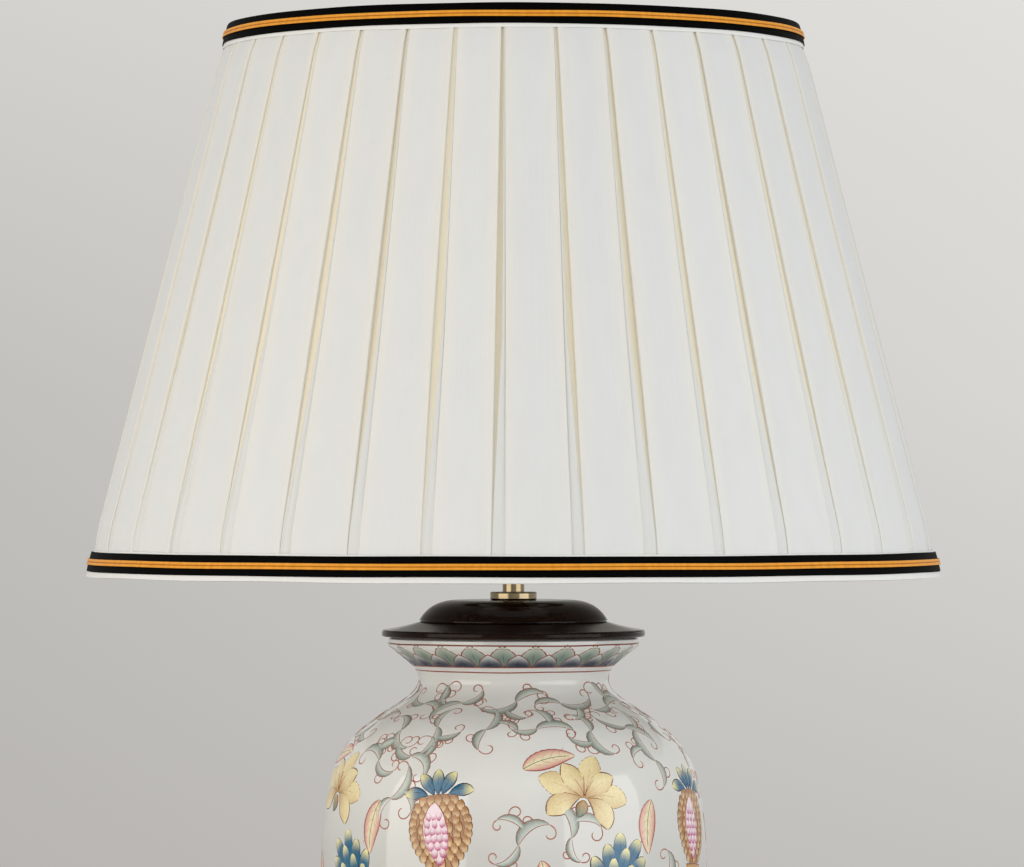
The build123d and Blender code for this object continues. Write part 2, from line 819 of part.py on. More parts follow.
# Wire ribs from ring to ring
rib_across = top_ring_place[0] - bottom_ring_place[0]
rib_rise = top_ring_place[1] - bottom_ring_place[1]
rib_end = ring_wire_radius + wire_gap
with BuildPart() as shade_ribs:
    for rib in range(rib_count):
        angle = radians(360 / rib_count * (rib + 0.5))
        lower = Vector(bottom_ring_place[0] * cos(angle), bottom_ring_place[0] * sin(angle), bottom_ring_z)
        along = Vector(rib_across * cos(angle), rib_across * sin(angle), rib_rise)
        with BuildSketch(Plane(origin=lower, z_dir=along).offset(rib_end)):
            Circle(rib_wire_radius)
        extrude(amount=along.length - 2 * rib_end)
shade_ribs.part.label = "shade_ribs"
export_step(shade_ribs.part, "parts/shade_ribs.step")

# Fitter: a hub over the stud, and arms soldered between its edge and the top ring
arm_z = hub_bottom + hub_thickness / 2
arm_slope = atan2(top_ring_z - arm_z, top_ring_place[0] - hub_radius)
arm_start = hub_radius + wire_gap + arm_radius * sin(arm_slope)
arm_length = hypot(top_ring_place[0] - arm_start, top_ring_z - arm_z) - rib_end
arm_planes = []
for arm in range(arm_count):
    angle = radians(90 + 360 / arm_count * arm)
    inner = Vector(arm_start * cos(angle), arm_start * sin(angle), arm_z)
    outer = Vector(top_ring_place[0] * cos(angle), top_ring_place[0] * sin(angle), top_ring_z)
    arm_planes.append(Plane(origin=inner, z_dir=outer - inner))
with BuildPart() as shade_hub:
    with BuildSketch(Plane.XY.offset(hub_bottom)):
        Circle(hub_radius)
        Circle(hub_bore_radius, mode=Mode.SUBTRACT)
    extrude(amount=hub_thickness)
shade_hub.part.label = "shade_hub"
export_step(shade_hub.part, "parts/shade_hub.step")

with BuildPart() as shade_arms:
    with BuildSketch(*arm_planes):
        Circle(arm_radius)
    extrude(amount=arm_length)
shade_arms.part.label = "shade_arms"
export_step(shade_arms.part, "parts/shade_arms.step")


# Pleated cloth: flat panels side by side, with a fold between each two that opens downwards
def pleat_outline(height, fold_gap):
    face = wall_radius(height)
    half_fold = degrees(fold_gap / 2 / face)
    points = []
    for pleat in range(pleat_count):
        middle = -90 + pleat_turn + 360 / pleat_count * pleat
        corners = (
            (face, middle - half_fold),
            (face - pleat_depth, middle - half_fold),
            (face - pleat_depth, middle + half_fold),
            (face, middle + half_fold),
        )
        points += [(r * cos(radians(a)), r * sin(radians(a))) for r, a in corners]
    return points


pleat_bottom = shade_bottom + edge_inset
pleat_top = shade_top - edge_inset
with BuildPart() as shade_pleats:
    with BuildSketch(Plane.XY.offset(pleat_bottom)):
        Polygon(*pleat_outline(pleat_bottom, fold_gap_bottom), align=None)
    with BuildSketch(Plane.XY.offset(pleat_top)):
        Polygon(*pleat_outline(pleat_top, fold_gap_top), align=None)
    loft(ruled=True)
    with BuildSketch(Plane.XY.offset(pleat_bottom)):
        Circle(wall_radius(pleat_bottom) + pleat_inner)
    with BuildSketch(Plane.XY.offset(pleat_top)):
        Circle(wall_radius(pleat_top) + pleat_inner)
    loft(ruled=True, mode=Mode.SUBTRACT)
shade_pleats.part.label = "shade_pleats"
export_step(shade_pleats.part, "parts/shade_pleats.step")

# Lining inside the frame, slit where the arms pass
with BuildPart() as shade_lining:
    with BuildSketch(Plane.XZ):
        Polygon(
            on_wall(lining_face, pleat_bottom),
            on_wall(lining_face, pleat_top),
            on_wall(lining_inner, pleat_top),
            on_wall(lining_inner, pleat_bottom),
            align=None,
        )
    revolve(axis=Axis.Z)
    with BuildSketch(*arm_planes):
        Circle(arm_radius + cloth_gap)
    extrude(amount=arm_length, mode=Mode.SUBTRACT)
shade_lining.part.label = "shade_lining"
export_step(shade_lining.part, "parts/shade_lining.step")

# Bindings folded over the two edges, from the face of the pleats to the lining, slit at the arms
binding_face = cloth_gap + binding_thickness
binding_back = lining_inner - cloth_gap - binding_thickness
for name, edge_z, inward in (("bottom_binding", shade_bottom, 1), ("top_binding", shade_top, -1)):
    fold_z = edge_z + inward * binding_thickness
    end_z = edge_z + inward * binding_depth
    with BuildPart() as binding:
        with BuildSketch(Plane.XZ):
            Polygon(
                on_wall(binding_face, edge_z),
                on_wall(binding_face, end_z),
                on_wall(cloth_gap, end_z),
                on_wall(cloth_gap, fold_z),
                on_wall(lining_inner - cloth_gap, fold_z),
                on_wall(lining_inner - cloth_gap, end_z),
                on_wall(binding_back, end_z),
                on_wall(binding_back, edge_z),
                align=None,
            )
        revolve(axis=Axis.Z)
        if name == "top_binding":
            with BuildSketch(*arm_planes):
                Circle(arm_radius + cloth_gap)
            extrude(amount=arm_length, mode=Mode.SUBTRACT)
    binding.part.label = name
    export_step(binding.part, f"parts/{name}.step")

# Trims over the bindings: a black tape with a gold braid along its middle
tape_back = binding_face + cloth_gap
tape_face = tape_back + trim_thickness
braid_back = tape_face + cloth_gap
braid_face = braid_back + braid_thickness
trim_rows = (
    ("top", shade_top - top_trim_inset - top_trim_width, top_trim_width),
    ("bottom", shade_bottom + bottom_trim_inset, bottom_trim_width),
)
for edge_name, tape_bottom, tape_width in trim_rows:
    tape_top = tape_bottom + tape_width
    braid_bottom = tape_bottom + (tape_width - braid_width) / 2
    braid_top = braid_bottom + braid_width
    with BuildPart() as trim_black:
        with BuildSketch(Plane.XZ):
            Polygon(
                on_wall(tape_back, tape_bottom),
                on_wall(tape_face, tape_bottom),
                on_wall(tape_face, tape_top),
                on_wall(tape_back, tape_top),
                align=None,
            )
        revolve(axis=Axis.Z)
    trim_black.part.label = f"{edge_name}_trim_black"
    export_step(trim_black.part, f"parts/{edge_name}_trim_black.step")
    with BuildPart() as trim_gold:
        with BuildSketch(Plane.XZ):
            Polygon(
                on_wall(braid_back, braid_bottom),
                on_wall(braid_face, braid_bottom),
                on_wall(braid_face, braid_top),
                on_wall(braid_back, braid_top),
                align=None,
            )
        revolve(axis=Axis.Z)
    trim_gold.part.label = f"{edge_name}_trim_gold"
    export_step(trim_gold.part, f"parts/{edge_name}_trim_gold.step")
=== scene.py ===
import functools
import json
import math
import bmesh
import bpy
import numpy as np
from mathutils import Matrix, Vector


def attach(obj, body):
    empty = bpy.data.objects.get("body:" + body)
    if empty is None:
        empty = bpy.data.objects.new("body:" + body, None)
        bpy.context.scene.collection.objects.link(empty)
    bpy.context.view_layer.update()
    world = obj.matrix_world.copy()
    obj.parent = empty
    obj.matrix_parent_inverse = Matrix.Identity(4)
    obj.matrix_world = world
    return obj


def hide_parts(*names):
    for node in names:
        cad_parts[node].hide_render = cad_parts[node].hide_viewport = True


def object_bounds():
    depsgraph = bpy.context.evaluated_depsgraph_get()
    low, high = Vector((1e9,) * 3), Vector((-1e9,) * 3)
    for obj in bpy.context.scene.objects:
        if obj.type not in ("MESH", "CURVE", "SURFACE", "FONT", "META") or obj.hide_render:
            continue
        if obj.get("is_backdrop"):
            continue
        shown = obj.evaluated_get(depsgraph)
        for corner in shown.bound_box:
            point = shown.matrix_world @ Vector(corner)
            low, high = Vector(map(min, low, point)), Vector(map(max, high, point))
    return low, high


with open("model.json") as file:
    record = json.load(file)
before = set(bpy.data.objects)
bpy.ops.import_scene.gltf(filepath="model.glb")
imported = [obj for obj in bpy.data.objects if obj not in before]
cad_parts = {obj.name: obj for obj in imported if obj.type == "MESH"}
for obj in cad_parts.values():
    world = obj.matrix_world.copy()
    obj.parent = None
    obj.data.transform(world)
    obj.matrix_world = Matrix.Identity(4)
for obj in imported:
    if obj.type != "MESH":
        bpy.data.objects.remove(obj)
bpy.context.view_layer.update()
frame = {"nodes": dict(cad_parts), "record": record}
nodes = frame["nodes"]
scene = bpy.context.scene
mm = 0.001
touch = 0.01 * mm  # heights closer than this count as one
fullTurn = 2 * math.pi
rng = np.random.default_rng(36)  # hand-made unevenness, the same each run
print("frame loaded:", len(nodes), "nodes")


# sRGB hex to linear: c / 12.92 near black, else ((c + 0.055) / 1.055) ^ 2.4
def linear(hexColour):
    part = np.array([int(hexColour[i:i + 2], 16) for i in (1, 3, 5)]) / 255
    part = np.where(part <= 0.04045, part / 12.92, ((part + 0.055) / 1.055) ** 2.4)
    return (*part.tolist(), 1.0)


# straight mix of two colours, hex or named in paint, by an array of shares: first + (second - first) * share
def mixColours(first, second, share):
    start, end = (np.array(linear(paint.get(colour, colour))) for colour in (first, second))
    return start + (end - start) * np.clip(share, 0, 1)[..., None]


# soft step: 0 below low, 1 above high, x * x * (3 - 2 x) between
def softStep(low, high, value):
    share = np.clip((value - low) / (high - low), 0, 1)
    return share * share * (3 - 2 * share)


# bell curve: size * exp(-((value - middle) / reach) ^ 2)
def hump(value, size, middle, reach):
    return size * np.exp(-((value - middle) / reach) ** 2)


# slow unevenness round the axis: a few sines of seeded phase, added and scaled to about that size
def wander(angles, size, counts):
    phases = rng.uniform(0, fullTurn, len(counts))
    waves = [np.sin(count * angles + phase) for count, phase in zip(counts, phases)]
    return size * np.sum(waves, axis=0) / math.sqrt(len(counts))


# quads of a grid: each cell joins a point with its neighbours, and a wrapped side joins its ends
def gridFaces(rows, columns, wrapRows=False, wrapColumns=False):
    cell = np.arange(rows * columns).reshape(rows, columns)
    if wrapRows:
        cell = np.concatenate([cell, cell[:1]], axis=0)
    if wrapColumns:
        cell = np.concatenate([cell, cell[:, :1]], axis=1)
    corners = [cell[:-1, :-1], cell[:-1, 1:], cell[1:, 1:], cell[1:, :-1]]
    return np.stack(corners, axis=-1).reshape(-1, 4)


# the UV corners of such a grid's quads, from a map that goes one row or column further where the grid wraps
def gridCorners(places):
    return places.reshape(-1, 2)[gridFaces(*places.shape[:2])]


# a new object at the origin, linked to the scene
def addObject(name, data):
    thing = bpy.data.objects.new(name, data)
    scene.collection.objects.link(thing)
    return thing


# a closed piece from points and faces; the sign of its volume, a sum of a . (b x c), turns the faces outwards
def addPiece(name, body, slot, points, faces, caps=(), tint=None, uvs=None, replaced=(), crease=50,
             material=None):
    points = np.asarray(points, float).reshape(-1, 3)
    a, b, c, d = (points[faces[:, corner]] for corner in range(4))
    volume = np.einsum("ij,ij", a, np.cross(b, c)) + np.einsum("ij,ij", a, np.cross(c, d))
    step = 1 if volume > 0 else -1
    faceList = faces[:, ::step].tolist()
    for cap in caps:
        faceList += cap[:, ::step].tolist()
    mesh = bpy.data.meshes.new(name)
    mesh.from_pydata(points, [], faceList)
    if uvs is not None:
        layer = mesh.uv_layers.new(name="threads")
        layer.data.foreach_set("uv", uvs[:, ::step].astype(np.float32).ravel())
    if tint is not None:
        layer = mesh.color_attributes.new("tint", "FLOAT_COLOR", "POINT")
        layer.data.foreach_set("color", np.asarray(tint, np.float32).reshape(-1, 4).ravel())
    mesh.shade_smooth()
    mesh.set_sharp_from_angle(angle=math.radians(crease))
    mesh.materials.append(material or finishes[slot])
    mesh.validate()
    piece = addObject(name, mesh)
    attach(piece, body)
    if replaced:
        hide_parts(*replaced)
    return piece


# joins the points that meet at a pole
def weldPoles(piece):
    work = bmesh.new()
    work.from_mesh(piece.data)
    bmesh.ops.remove_doubles(work, verts=work.verts, dist=1e-6)
    work.to_mesh(piece.data)
    work.free()


# an outline (radius, height) carried round the axis: x = r sin(a), y = -r cos(a), so angle 0 is the front
def turned(radii, heights, angles):
    radii, heights, angles = np.broadcast_arrays(radii, heights, angles)
    return np.stack([radii * np.sin(angles), -radii * np.cos(angles), heights], axis=-1)


# evenly spread angles of one turn
def roundAngles(count):
    return np.arange(count) / count * fullTurn


# the corners of a CAD node, one row each
def cadPoints(node):
    mesh = nodes[node].data
    points = np.empty(len(mesh.vertices) * 3)
    mesh.vertices.foreach_get("co", points)
    return points.reshape(-1, 3)


# distance of points from the axis: the root of x * x + y * y
def axisReach(points):
    return np.hypot(points[:, 0], points[:, 1])


# outline of a turned CAD node: the largest radius at each height, over the faces that look away from the axis
def cadOutline(node):
    mesh = nodes[node].data
    corners = np.empty(len(mesh.loops), int)
    mesh.loops.foreach_get("vertex_index", corners)
    normals = np.empty(len(mesh.polygons) * 3)
    mesh.polygons.foreach_get("normal", normals)
    triangles = cadPoints(node)[corners].reshape(-1, 3, 3)
    middles = triangles.mean(axis=1)
    away = (normals.reshape(-1, 3)[:, :2] * middles[:, :2]).sum(axis=1) / axisReach(middles)
    rings = triangles[away > 0.05].reshape(-1, 3)
    levels, place = np.unique(np.round(rings[:, 2], 6), return_inverse=True)
    radii = np.zeros(len(levels))
    np.maximum.at(radii, place, axisReach(rings))
    return radii, levels


# adds a shader node, sets its fields, and fills its sockets with values or with links, written (node, output)
def addNode(tree, kind, sockets=None, **fields):
    node = tree.nodes.new("ShaderNode" + kind)
    for name, value in fields.items():
        setattr(node, name, value)
    for name, value in (sockets or {}).items():
        if isinstance(value, tuple) and isinstance(value[0], bpy.types.Node):
            tree.links.new(value[0].outputs[value[1]], node.inputs[name])
        else:
            node.inputs[name].default_value = value
    return node


# an empty material, and what adds its nodes
def openMaterial(name):
    material = bpy.data.materials.new(name)
    material.use_nodes = True
    material.node_tree.nodes.clear()
    return material, functools.partial(addNode, material.node_tree)


# closes a material with a Principled shader of these sockets
def closeMaterial(add, sockets):
    shader = add("BsdfPrincipled", sockets)
    add("OutputMaterial", {"Surface": (shader, "BSDF")})


# gloss-fired porcelain: near white under a faintly rippled clear glaze, in a random tone, and painted whiter
# towards the top as painted light on the neck and shoulder under the shade
def glazedPorcelain():
    material, add = openMaterial("glazed_porcelain")
    place = add("TexCoord")
    cloud = add("TexNoise", {"Vector": (place, "Object"), "Scale": 1 / (45 * mm), "Detail": 2.0})
    parts = add("SeparateXYZ", {"Vector": (place, "Object")})
    # painted light: the value thick is the share of the paler colour, a random cloud plus a rise with height
    # from 250 to 360 mm
    rise = add("MapRange", {"Value": (parts, "Z"), "From Min": 250 * mm, "From Max": 360 * mm, "To Max": 0.8})
    thick = add("Math", {0: (cloud, "Fac"), 1: 0.3, 2: (rise, "Result")}, operation="MULTIPLY_ADD")
    tone = add("Mix", {0: (thick, "Value"), 6: linear("#b2b2ae"), 7: linear("#e7e7e4")}, data_type="RGBA")
    ripple = add("TexNoise", {"Vector": (place, "Object"), "Scale": 1 / (9 * mm), "Detail": 1.0})
    skin = add("Bump", {"Height": (ripple, "Fac"), "Distance": 0.03 * mm, "Strength": 1.0})
    closeMaterial(add, {"Base Color": (tone, 2), "Roughness": 0.06, "IOR": 1.52, "Normal": (skin, "Normal")})
    return material


# overglaze enamel: brushed colours fired onto the glaze, a little thicker and less glossy than it
def brushedEnamel():
    material, add = openMaterial("brushed_enamel")
    place = add("TexCoord")
    tint = add("Attribute", attribute_name="tint")
    streak = add("TexNoise", {"Vector": (place, "Object"), "Scale": 1 / (1.4 * mm), "Detail": 3.0})
    wash = add("MapRange", {"Value": (streak, "Fac"), "To Min": 0.82, "To Max": 1.14})
    tone = add("Mix", {0: 1.0, 6: (tint, "Color"), 7: (wash, "Result")}, data_type="RGBA",
        blend_type="MULTIPLY")
    closeMaterial(add, {"Base Color": (tone, 2), "Roughness": 0.16, "IOR": 1.52})
    return material


# a stuff toned by one noise, with shine and relief from another, each noise given as (size, detail, stretch)
def speckledStuff(name, dark, light, toneNoise, skinNoise, shine, relief, strength, more,
                  toneSpan=(0.0, 1.0)):
    material, add = openMaterial(name)
    place = add("TexCoord")
    noises = []
    for size, detail, stretch in (toneNoise, skinNoise):
        along = add("Mapping", {"Vector": (place, "Object"), "Scale": stretch})
        noises.append(add("TexNoise", {"Vector": (along, "Vector"), "Scale": 1 / size, "Detail": detail}))
    share = add("MapRange", {"Value": (noises[0], "Fac"), "From Min": toneSpan[0], "From Max": toneSpan[1]})
    tone = add("Mix", {0: (share, "Result"), 6: linear(dark), 7: linear(light)}, data_type="RGBA")
    gloss = add("MapRange", {"Value": (noises[1], "Fac"), "To Min": shine[0], "To Max": shine[1]})
    skin = add("Bump", {"Height": (noises[1], "Fac"), "Distance": relief, "Strength": strength})
    closeMaterial(add, {"Base Color": (tone, 2), "Roughness": (gloss, "Result"),
        "Normal": (skin, "Normal"), **more})
    return material


evenly, alongGrain, roundAxis = (1.0, 1.0, 1.0), (0.08, 1.0, 1.0), (0.05, 0.05, 1.0)  # stretches of a noise


# turned hardwood, stained near black and lacquered: dim brown grain under a soft shine
def stainedWood():
    return speckledStuff("stained_wood", "#110602", "#251108", (1.6 * mm, 5.0, alongGrain),
        (0.7 * mm, 2.0, alongGrain), (0.1, 0.18), 0.02 * mm, 0.6, {"Specular IOR Level": 0.12}, (0.35, 0.7))


# a metal: fine marks of turning or rolling across its height, with a slow change of tone
def workedMetal(name, dark, light, roughness, markSize):
    return speckledStuff(name, dark, light, (14 * mm, 2.0, evenly), (markSize, 3.0, roundAxis),
        (roughness * 0.75, roughness * 1.3), 0.004 * mm, 0.5, {"Metallic": 1.0})


# a moulded or pressed stuff: speckled tone and a fine skin
def mouldedStuff(name, dark, light, roughness, grit, depth, ior=1.5):
    speck = grit, 4.0, evenly
    return speckledStuff(name, dark, light, speck, speck, (roughness * 0.85, min(1.0, roughness * 1.15)),
        depth, 0.6, {"IOR": ior})


waveSpan = 0.314  # one band of the wave texture at a scale of 1


# plain woven cloth in the tint's colours: threads along the UV map, in metres, with slubs and a soft sheen
def wovenCloth(name, threadSize, relief, sheen, roughness, slub=0.03, gloss=0.3):
    material, add = openMaterial(name)
    tint = add("Attribute", attribute_name="tint")
    place = add("UVMap", uv_map="threads")
    wave = {"Vector": (place, "UV"), "Scale": waveSpan / threadSize, "Distortion": 0.6, "Detail": 1.0}
    warp, weft = (add("TexWave", wave, bands_direction=axis) for axis in "XY")
    weave = add("Math", {0: (warp, "Fac"), 1: (weft, "Fac")}, operation="MULTIPLY")
    along = add("Mapping", {"Vector": (place, "UV"), "Scale": (1.0, 0.12, 1.0)})
    slubs = add("TexNoise", {"Vector": (along, "Vector"), "Scale": 1 / (3 * mm), "Detail": 3.0})
    wash = add("MapRange", {"Value": (slubs, "Fac"), "To Min": 1 - slub, "To Max": 1 + slub})
    tone = add("Mix", {0: 1.0, 6: (tint, "Color"), 7: (wash, "Result")}, data_type="RGBA",
        blend_type="MULTIPLY")
    threads = add("Bump", {"Height": (weave, "Value"), "Distance": relief, "Strength": 0.5})
    closeMaterial(add, {"Base Color": (tone, 2), "Roughness": roughness, "Sheen Weight": sheen,
        "Sheen Roughness": 0.5, "Specular IOR Level": gloss, "Normal": (threads, "Normal")})
    return material


finishes = {  # one finish for each material slot of the record
    "felt": mouldedStuff("wool_felt", "#1c211c", "#2c332b", 0.95, 0.8 * mm, 0.25 * mm),
    "dark_wood": stainedWood(),
    "zinc_steel": workedMetal("zinc_plated_steel", "#a9a9a6", "#c3c2bc", 0.34, 0.4 * mm),
    "black_rubber": mouldedStuff("moulded_rubber", "#0e0e0e", "#181818", 0.7, 0.5 * mm, 0.02 * mm),
    "cork_rubber": mouldedStuff("cork_rubber", "#4a3322", "#7a573a", 0.85, 0.9 * mm, 0.08 * mm),
    "glazed_porcelain": glazedPorcelain(),
    "polished_brass": workedMetal("polished_brass", "#8a7c62", "#a4967c", 0.15, 0.5 * mm),
    "phenolic": mouldedStuff("moulded_phenolic", "#130e0c", "#1d1613", 0.32, 1.2 * mm, 0.01 * mm, 1.6),
    "aluminium_shell": workedMetal("rolled_aluminium", "#c4c5c6", "#dadbdb", 0.28, 0.6 * mm),
    "liner_card": mouldedStuff("pressed_card", "#8a7250", "#a48a64", 0.9, 0.6 * mm, 0.05 * mm),
    "solder_tin": workedMetal("tinned_contact", "#a8a8a8", "#c4c4c2", 0.36, 0.7 * mm),
    "black_glass": mouldedStuff("black_vitrite", "#08080a", "#101014", 0.1, 2.0 * mm, 0.01 * mm, 1.52),
    "white_plastic": mouldedStuff("white_moulded_plastic", "#dededb", "#e8e8e5", 0.3, 1.5 * mm, 0.01 * mm,
                                  1.46),
    "opal_plastic": mouldedStuff("opal_diffuser", "#ecece7", "#f3f3ef", 0.5, 2.5 * mm, 0.01 * mm, 1.49),
    "pleat_cloth": wovenCloth("pleated_cloth", 1.0 * mm, 0.05 * mm, 0.12, 0.8),
    "lining_cloth": wovenCloth("lining_cloth", 0.9 * mm, 0.04 * mm, 0.1, 0.75),
    "painted_wire": mouldedStuff("painted_wire", "#e0e0dc", "#eaeae6", 0.35, 1.5 * mm, 0.02 * mm),
    "binding_cloth": wovenCloth("binding_cloth", 0.8 * mm, 0.06 * mm, 0.15, 0.8),
    "black_tape": wovenCloth("satin_tape", 0.7 * mm, 0.05 * mm, 0.0, 0.6, 0.3, 0.02),
    "gold_braid": wovenCloth("gold_braid", 0.4 * mm, 0.06 * mm, 0.0, 0.45, 0.3, 0.2),
}
enamel = brushedEnamel()
for subpart in frame["record"]["subparts"]:
    for holder in nodes[subpart["node"]].material_slots:
        holder.material = finishes[subpart["material_slot"]]
print("finishes made:", len(finishes))

# Camera where the photographer stood: a hand above the shade's lower edge, tilted up a little
view = dict(place=(-0.0008, -3.05, 0.486), tilt=90.529, lens=199.9, sensor=36.0)
camera = addObject("camera", bpy.data.cameras.new("camera"))
camera.data.lens = view["lens"]
camera.data.sensor_width = view["sensor"]
camera.data.sensor_fit = "HORIZONTAL"
camera.location = view["place"]
camera.rotation_euler = (math.radians(view["tilt"]), 0, 0)
scene.camera = camera
scene.view_settings.view_transform = "Standard"

# Studio: a soft box on each side of the camera, even room light, a pale paper sweep behind
studio = dict(distance=1.3, width=1.25, low=0.12, high=1.12, power=9.2, room=(0.31, 0.53),
    roomLight="#f8fbff", fill=dict(place=(0, -1.9, 1.1), size=(1.3, 0.5), power=4.0, colour="#fdfcff"),
    boxes=((-53, 1.01, "#fff7ea"), (55, 0.97, "#f9f8f5")), sweepLeft=("#b6b3b0", "#bfbeba", "#d7d6d2"),
    sweepRight=("#c3c1bd", "#dad8d4", "#e4e2de"), sweepSpan=((-0.108, 0.108), (-0.075, 0.107)),
    floor="#d3d1cd", floorRadius=1.7, floorClear=0.4, floorSides=96)


# a soft rectangular light that faces the lamp's axis, level with the ground
def addSoftBox(name, place, size, power, colour):
    box = addObject(name, bpy.data.lights.new(name, "AREA"))
    box.data.shape = "RECTANGLE"
    box.data.size, box.data.size_y = size
    box.data.energy = power
    box.data.color = linear(colour)[:3]
    box.location = place
    box.rotation_euler = (math.radians(90), 0, math.atan2(place[0], -place[1]))
    return box


boxLevel = (studio["high"] + studio["low"]) / 2
boxSize = studio["width"], studio["high"] - studio["low"]
for turnAside, share, colour in studio["boxes"]:
    aside = math.radians(turnAside)
    boxPlace = studio["distance"] * math.sin(aside), -studio["distance"] * math.cos(aside), boxLevel
    addSoftBox("soft_box", boxPlace, boxSize, studio["power"] * share, colour)
fill = addSoftBox("fill_light", *studio["fill"].values())
fill.visible_glossy = False  # bounced off the studio's wall, so it leaves no highlight


# the room: light stronger from above; the camera and polished surfaces see a sweep that pales up and right
def makeRoom():
    world = bpy.data.worlds.new("room")
    scene.world = world
    world.use_nodes = True
    world.node_tree.nodes.clear()
    add = functools.partial(addNode, world.node_tree)
    place = add("TexCoord")
    parts = add("SeparateXYZ", {"Vector": (place, "Generated")})
    (left, right), (low, high) = studio["sweepSpan"]
    aside = add("MapRange", {"Value": (parts, "X"), "From Min": left, "From Max": right})
    rise = add("MapRange", {"Value": (parts, "Z"), "From Min": low, "From Max": high})
    ramps = []
    for colours in (studio["sweepLeft"], studio["sweepRight"]):
        ramp = add("ValToRGB", {0: (rise, "Result")})
        ramp.color_ramp.elements.new(0.5)
        for element, colour in zip(ramp.color_ramp.elements, colours):
            element.color = linear(colour)
        ramps.append(ramp)
    sweep = add("Mix", {0: (aside, "Result"), 6: (ramps[0], "Color"), 7: (ramps[1], "Color")},
        data_type="RGBA")
    rays = add("LightPath")
    mirrored = add("Math", {0: (rays, "Is Glossy Ray"), 1: (rays, "Is Transmission Ray")},
        operation="MAXIMUM")
    seen = add("Math", {0: (rays, "Is Camera Ray"), 1: (mirrored, "Value")}, operation="MAXIMUM")
    below, above = studio["room"]
    glow = add("MapRange", {"Value": (parts, "Z"), "From Min": -1.0, "To Min": below, "To Max": above})
    even = add("Background", {"Color": linear(studio["roomLight"]), "Strength": (glow, "Result")})
    paper = add("Background", {"Color": (sweep, 2), "Strength": 1.0})
    either = add("MixShader", {0: (seen, "Value"), 1: (even, "Background"), 2: (paper, "Background")})
    add("OutputWorld", {"Surface": (either, "Shader")})


# the floor: a pale disc that fades out towards its edge
def makeFloor():
    material, add = openMaterial("pale_floor")
    place = add("TexCoord")
    reach = add("VectorMath", {0: (place, "Object")}, operation="LENGTH")
    fade = add("MapRange", {"Value": (reach, "Value"), "From Min": studio["floorClear"],
        "From Max": studio["floorRadius"], "To Min": 1.0, "To Max": 0.0}, interpolation_type="SMOOTHSTEP")
    closeMaterial(add, {"Base Color": linear(studio["floor"]), "Roughness": 0.9, "Alpha": (fade, "Result")})
    mesh = bpy.data.meshes.new("floor")
    sides = studio["floorSides"]
    mesh.from_pydata(turned(studio["floorRadius"], 0.0, roundAngles(sides)), [], [list(range(sides))])
    mesh.materials.append(material)
    floor = addObject("floor", mesh)
    floor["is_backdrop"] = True


makeRoom()
makeFloor()
print("studio made")

# Jar: its outline comes from the CAD jar, evenly stepped, with the wall, floor and foot ring inside
jar = dict(rows=230, columns=300, wallRows=24, lipDrop=4, bellyBand=4, holeBand=0.1)
outlineRadii, outlineLevels = (part[::-1] for part in cadOutline("vase"))  # from the rim down
outlineSteps = np.hypot(np.diff(outlineRadii), np.diff(outlineLevels))
outlineDown = np.concatenate([[0], np.cumsum(outlineSteps)])
jarDown = np.linspace(0, outlineDown[-1], jar["rows"])  # length along the outline, from the rim
jarRadius = np.interp(jarDown, outlineDown, outlineRadii)
jarLevel = np.interp(jarDown, outlineDown, outlineLevels)
slopeOut, slopeUp = np.gradient(jarRadius, jarDown), np.gradient(jarLevel, jarDown)
slopeSize = np.hypot(slopeOut, slopeUp)
jarFaceOut, jarFaceUp = -slopeUp / slopeSize, slopeOut / slopeSize
jarRim, jarFoot = outlineLevels[0], outlineLevels[-1]


# the outer wall, the foot ring, the tube's hole, then the inner wall one wall's thickness in, and the rim
def makeJar():
    corners = cadPoints("vase")
    away, level = axisReach(corners), corners[:, 2]
    bore = away.min()
    hole = level[away < bore + jar["holeBand"] * mm]
    mouth = away[level > jarRim - touch].min()
    ringInside = away[level < jarFoot + touch].min()
    bellyLevel = jarLevel[np.argmax(jarRadius)]
    wall = jarRadius.max() - away[np.abs(level - bellyLevel) < jar["bellyBand"] * mm].min()
    innerLevels = np.linspace(jarRim - jar["lipDrop"] * mm, hole.max(), jar["wallRows"])
    innerRadii = np.interp(innerLevels, jarLevel[::-1], jarRadius[::-1]) - wall
    radii = np.concatenate([jarRadius, [ringInside, ringInside, bore, bore], innerRadii[::-1], [mouth]])
    under = [jarFoot, hole.min(), hole.min(), hole.max()]
    levels = np.concatenate([jarLevel, under, innerLevels[::-1], [jarRim]])
    points = turned(radii[:, None], levels[:, None], roundAngles(jar["columns"]))
    faces = gridFaces(len(radii), jar["columns"], wrapRows=True, wrapColumns=True)
    addPiece("jar", "lamp", "glazed_porcelain", points, faces, replaced=("vase",))


makeJar()
print("jar turned: outline", len(outlineLevels), "levels, length", round(outlineDown[-1], 4))


# a point on the jar: angle from the front, length down the outline, and height proud of the glaze
def onJar(angle, down, proud):
    radius = np.interp(down, jarDown, jarRadius) + proud * np.interp(down, jarDown, jarFaceOut)
    level = np.interp(down, jarDown, jarLevel) + proud * np.interp(down, jarDown, jarFaceUp)
    return turned(radius, level, angle)


# the length down the outline at a drop below the rim in millimetres
def downAt(drop):
    return float(np.interp(drop * mm, jarRim - jarLevel, jarDown))


# positions along a stroke from 0 to 1, closer together near both ends: (1 - cos(pi u)) / 2
def easeEnds(count):
    return (1 - np.cos(math.pi * np.linspace(0, 1, count))) / 2


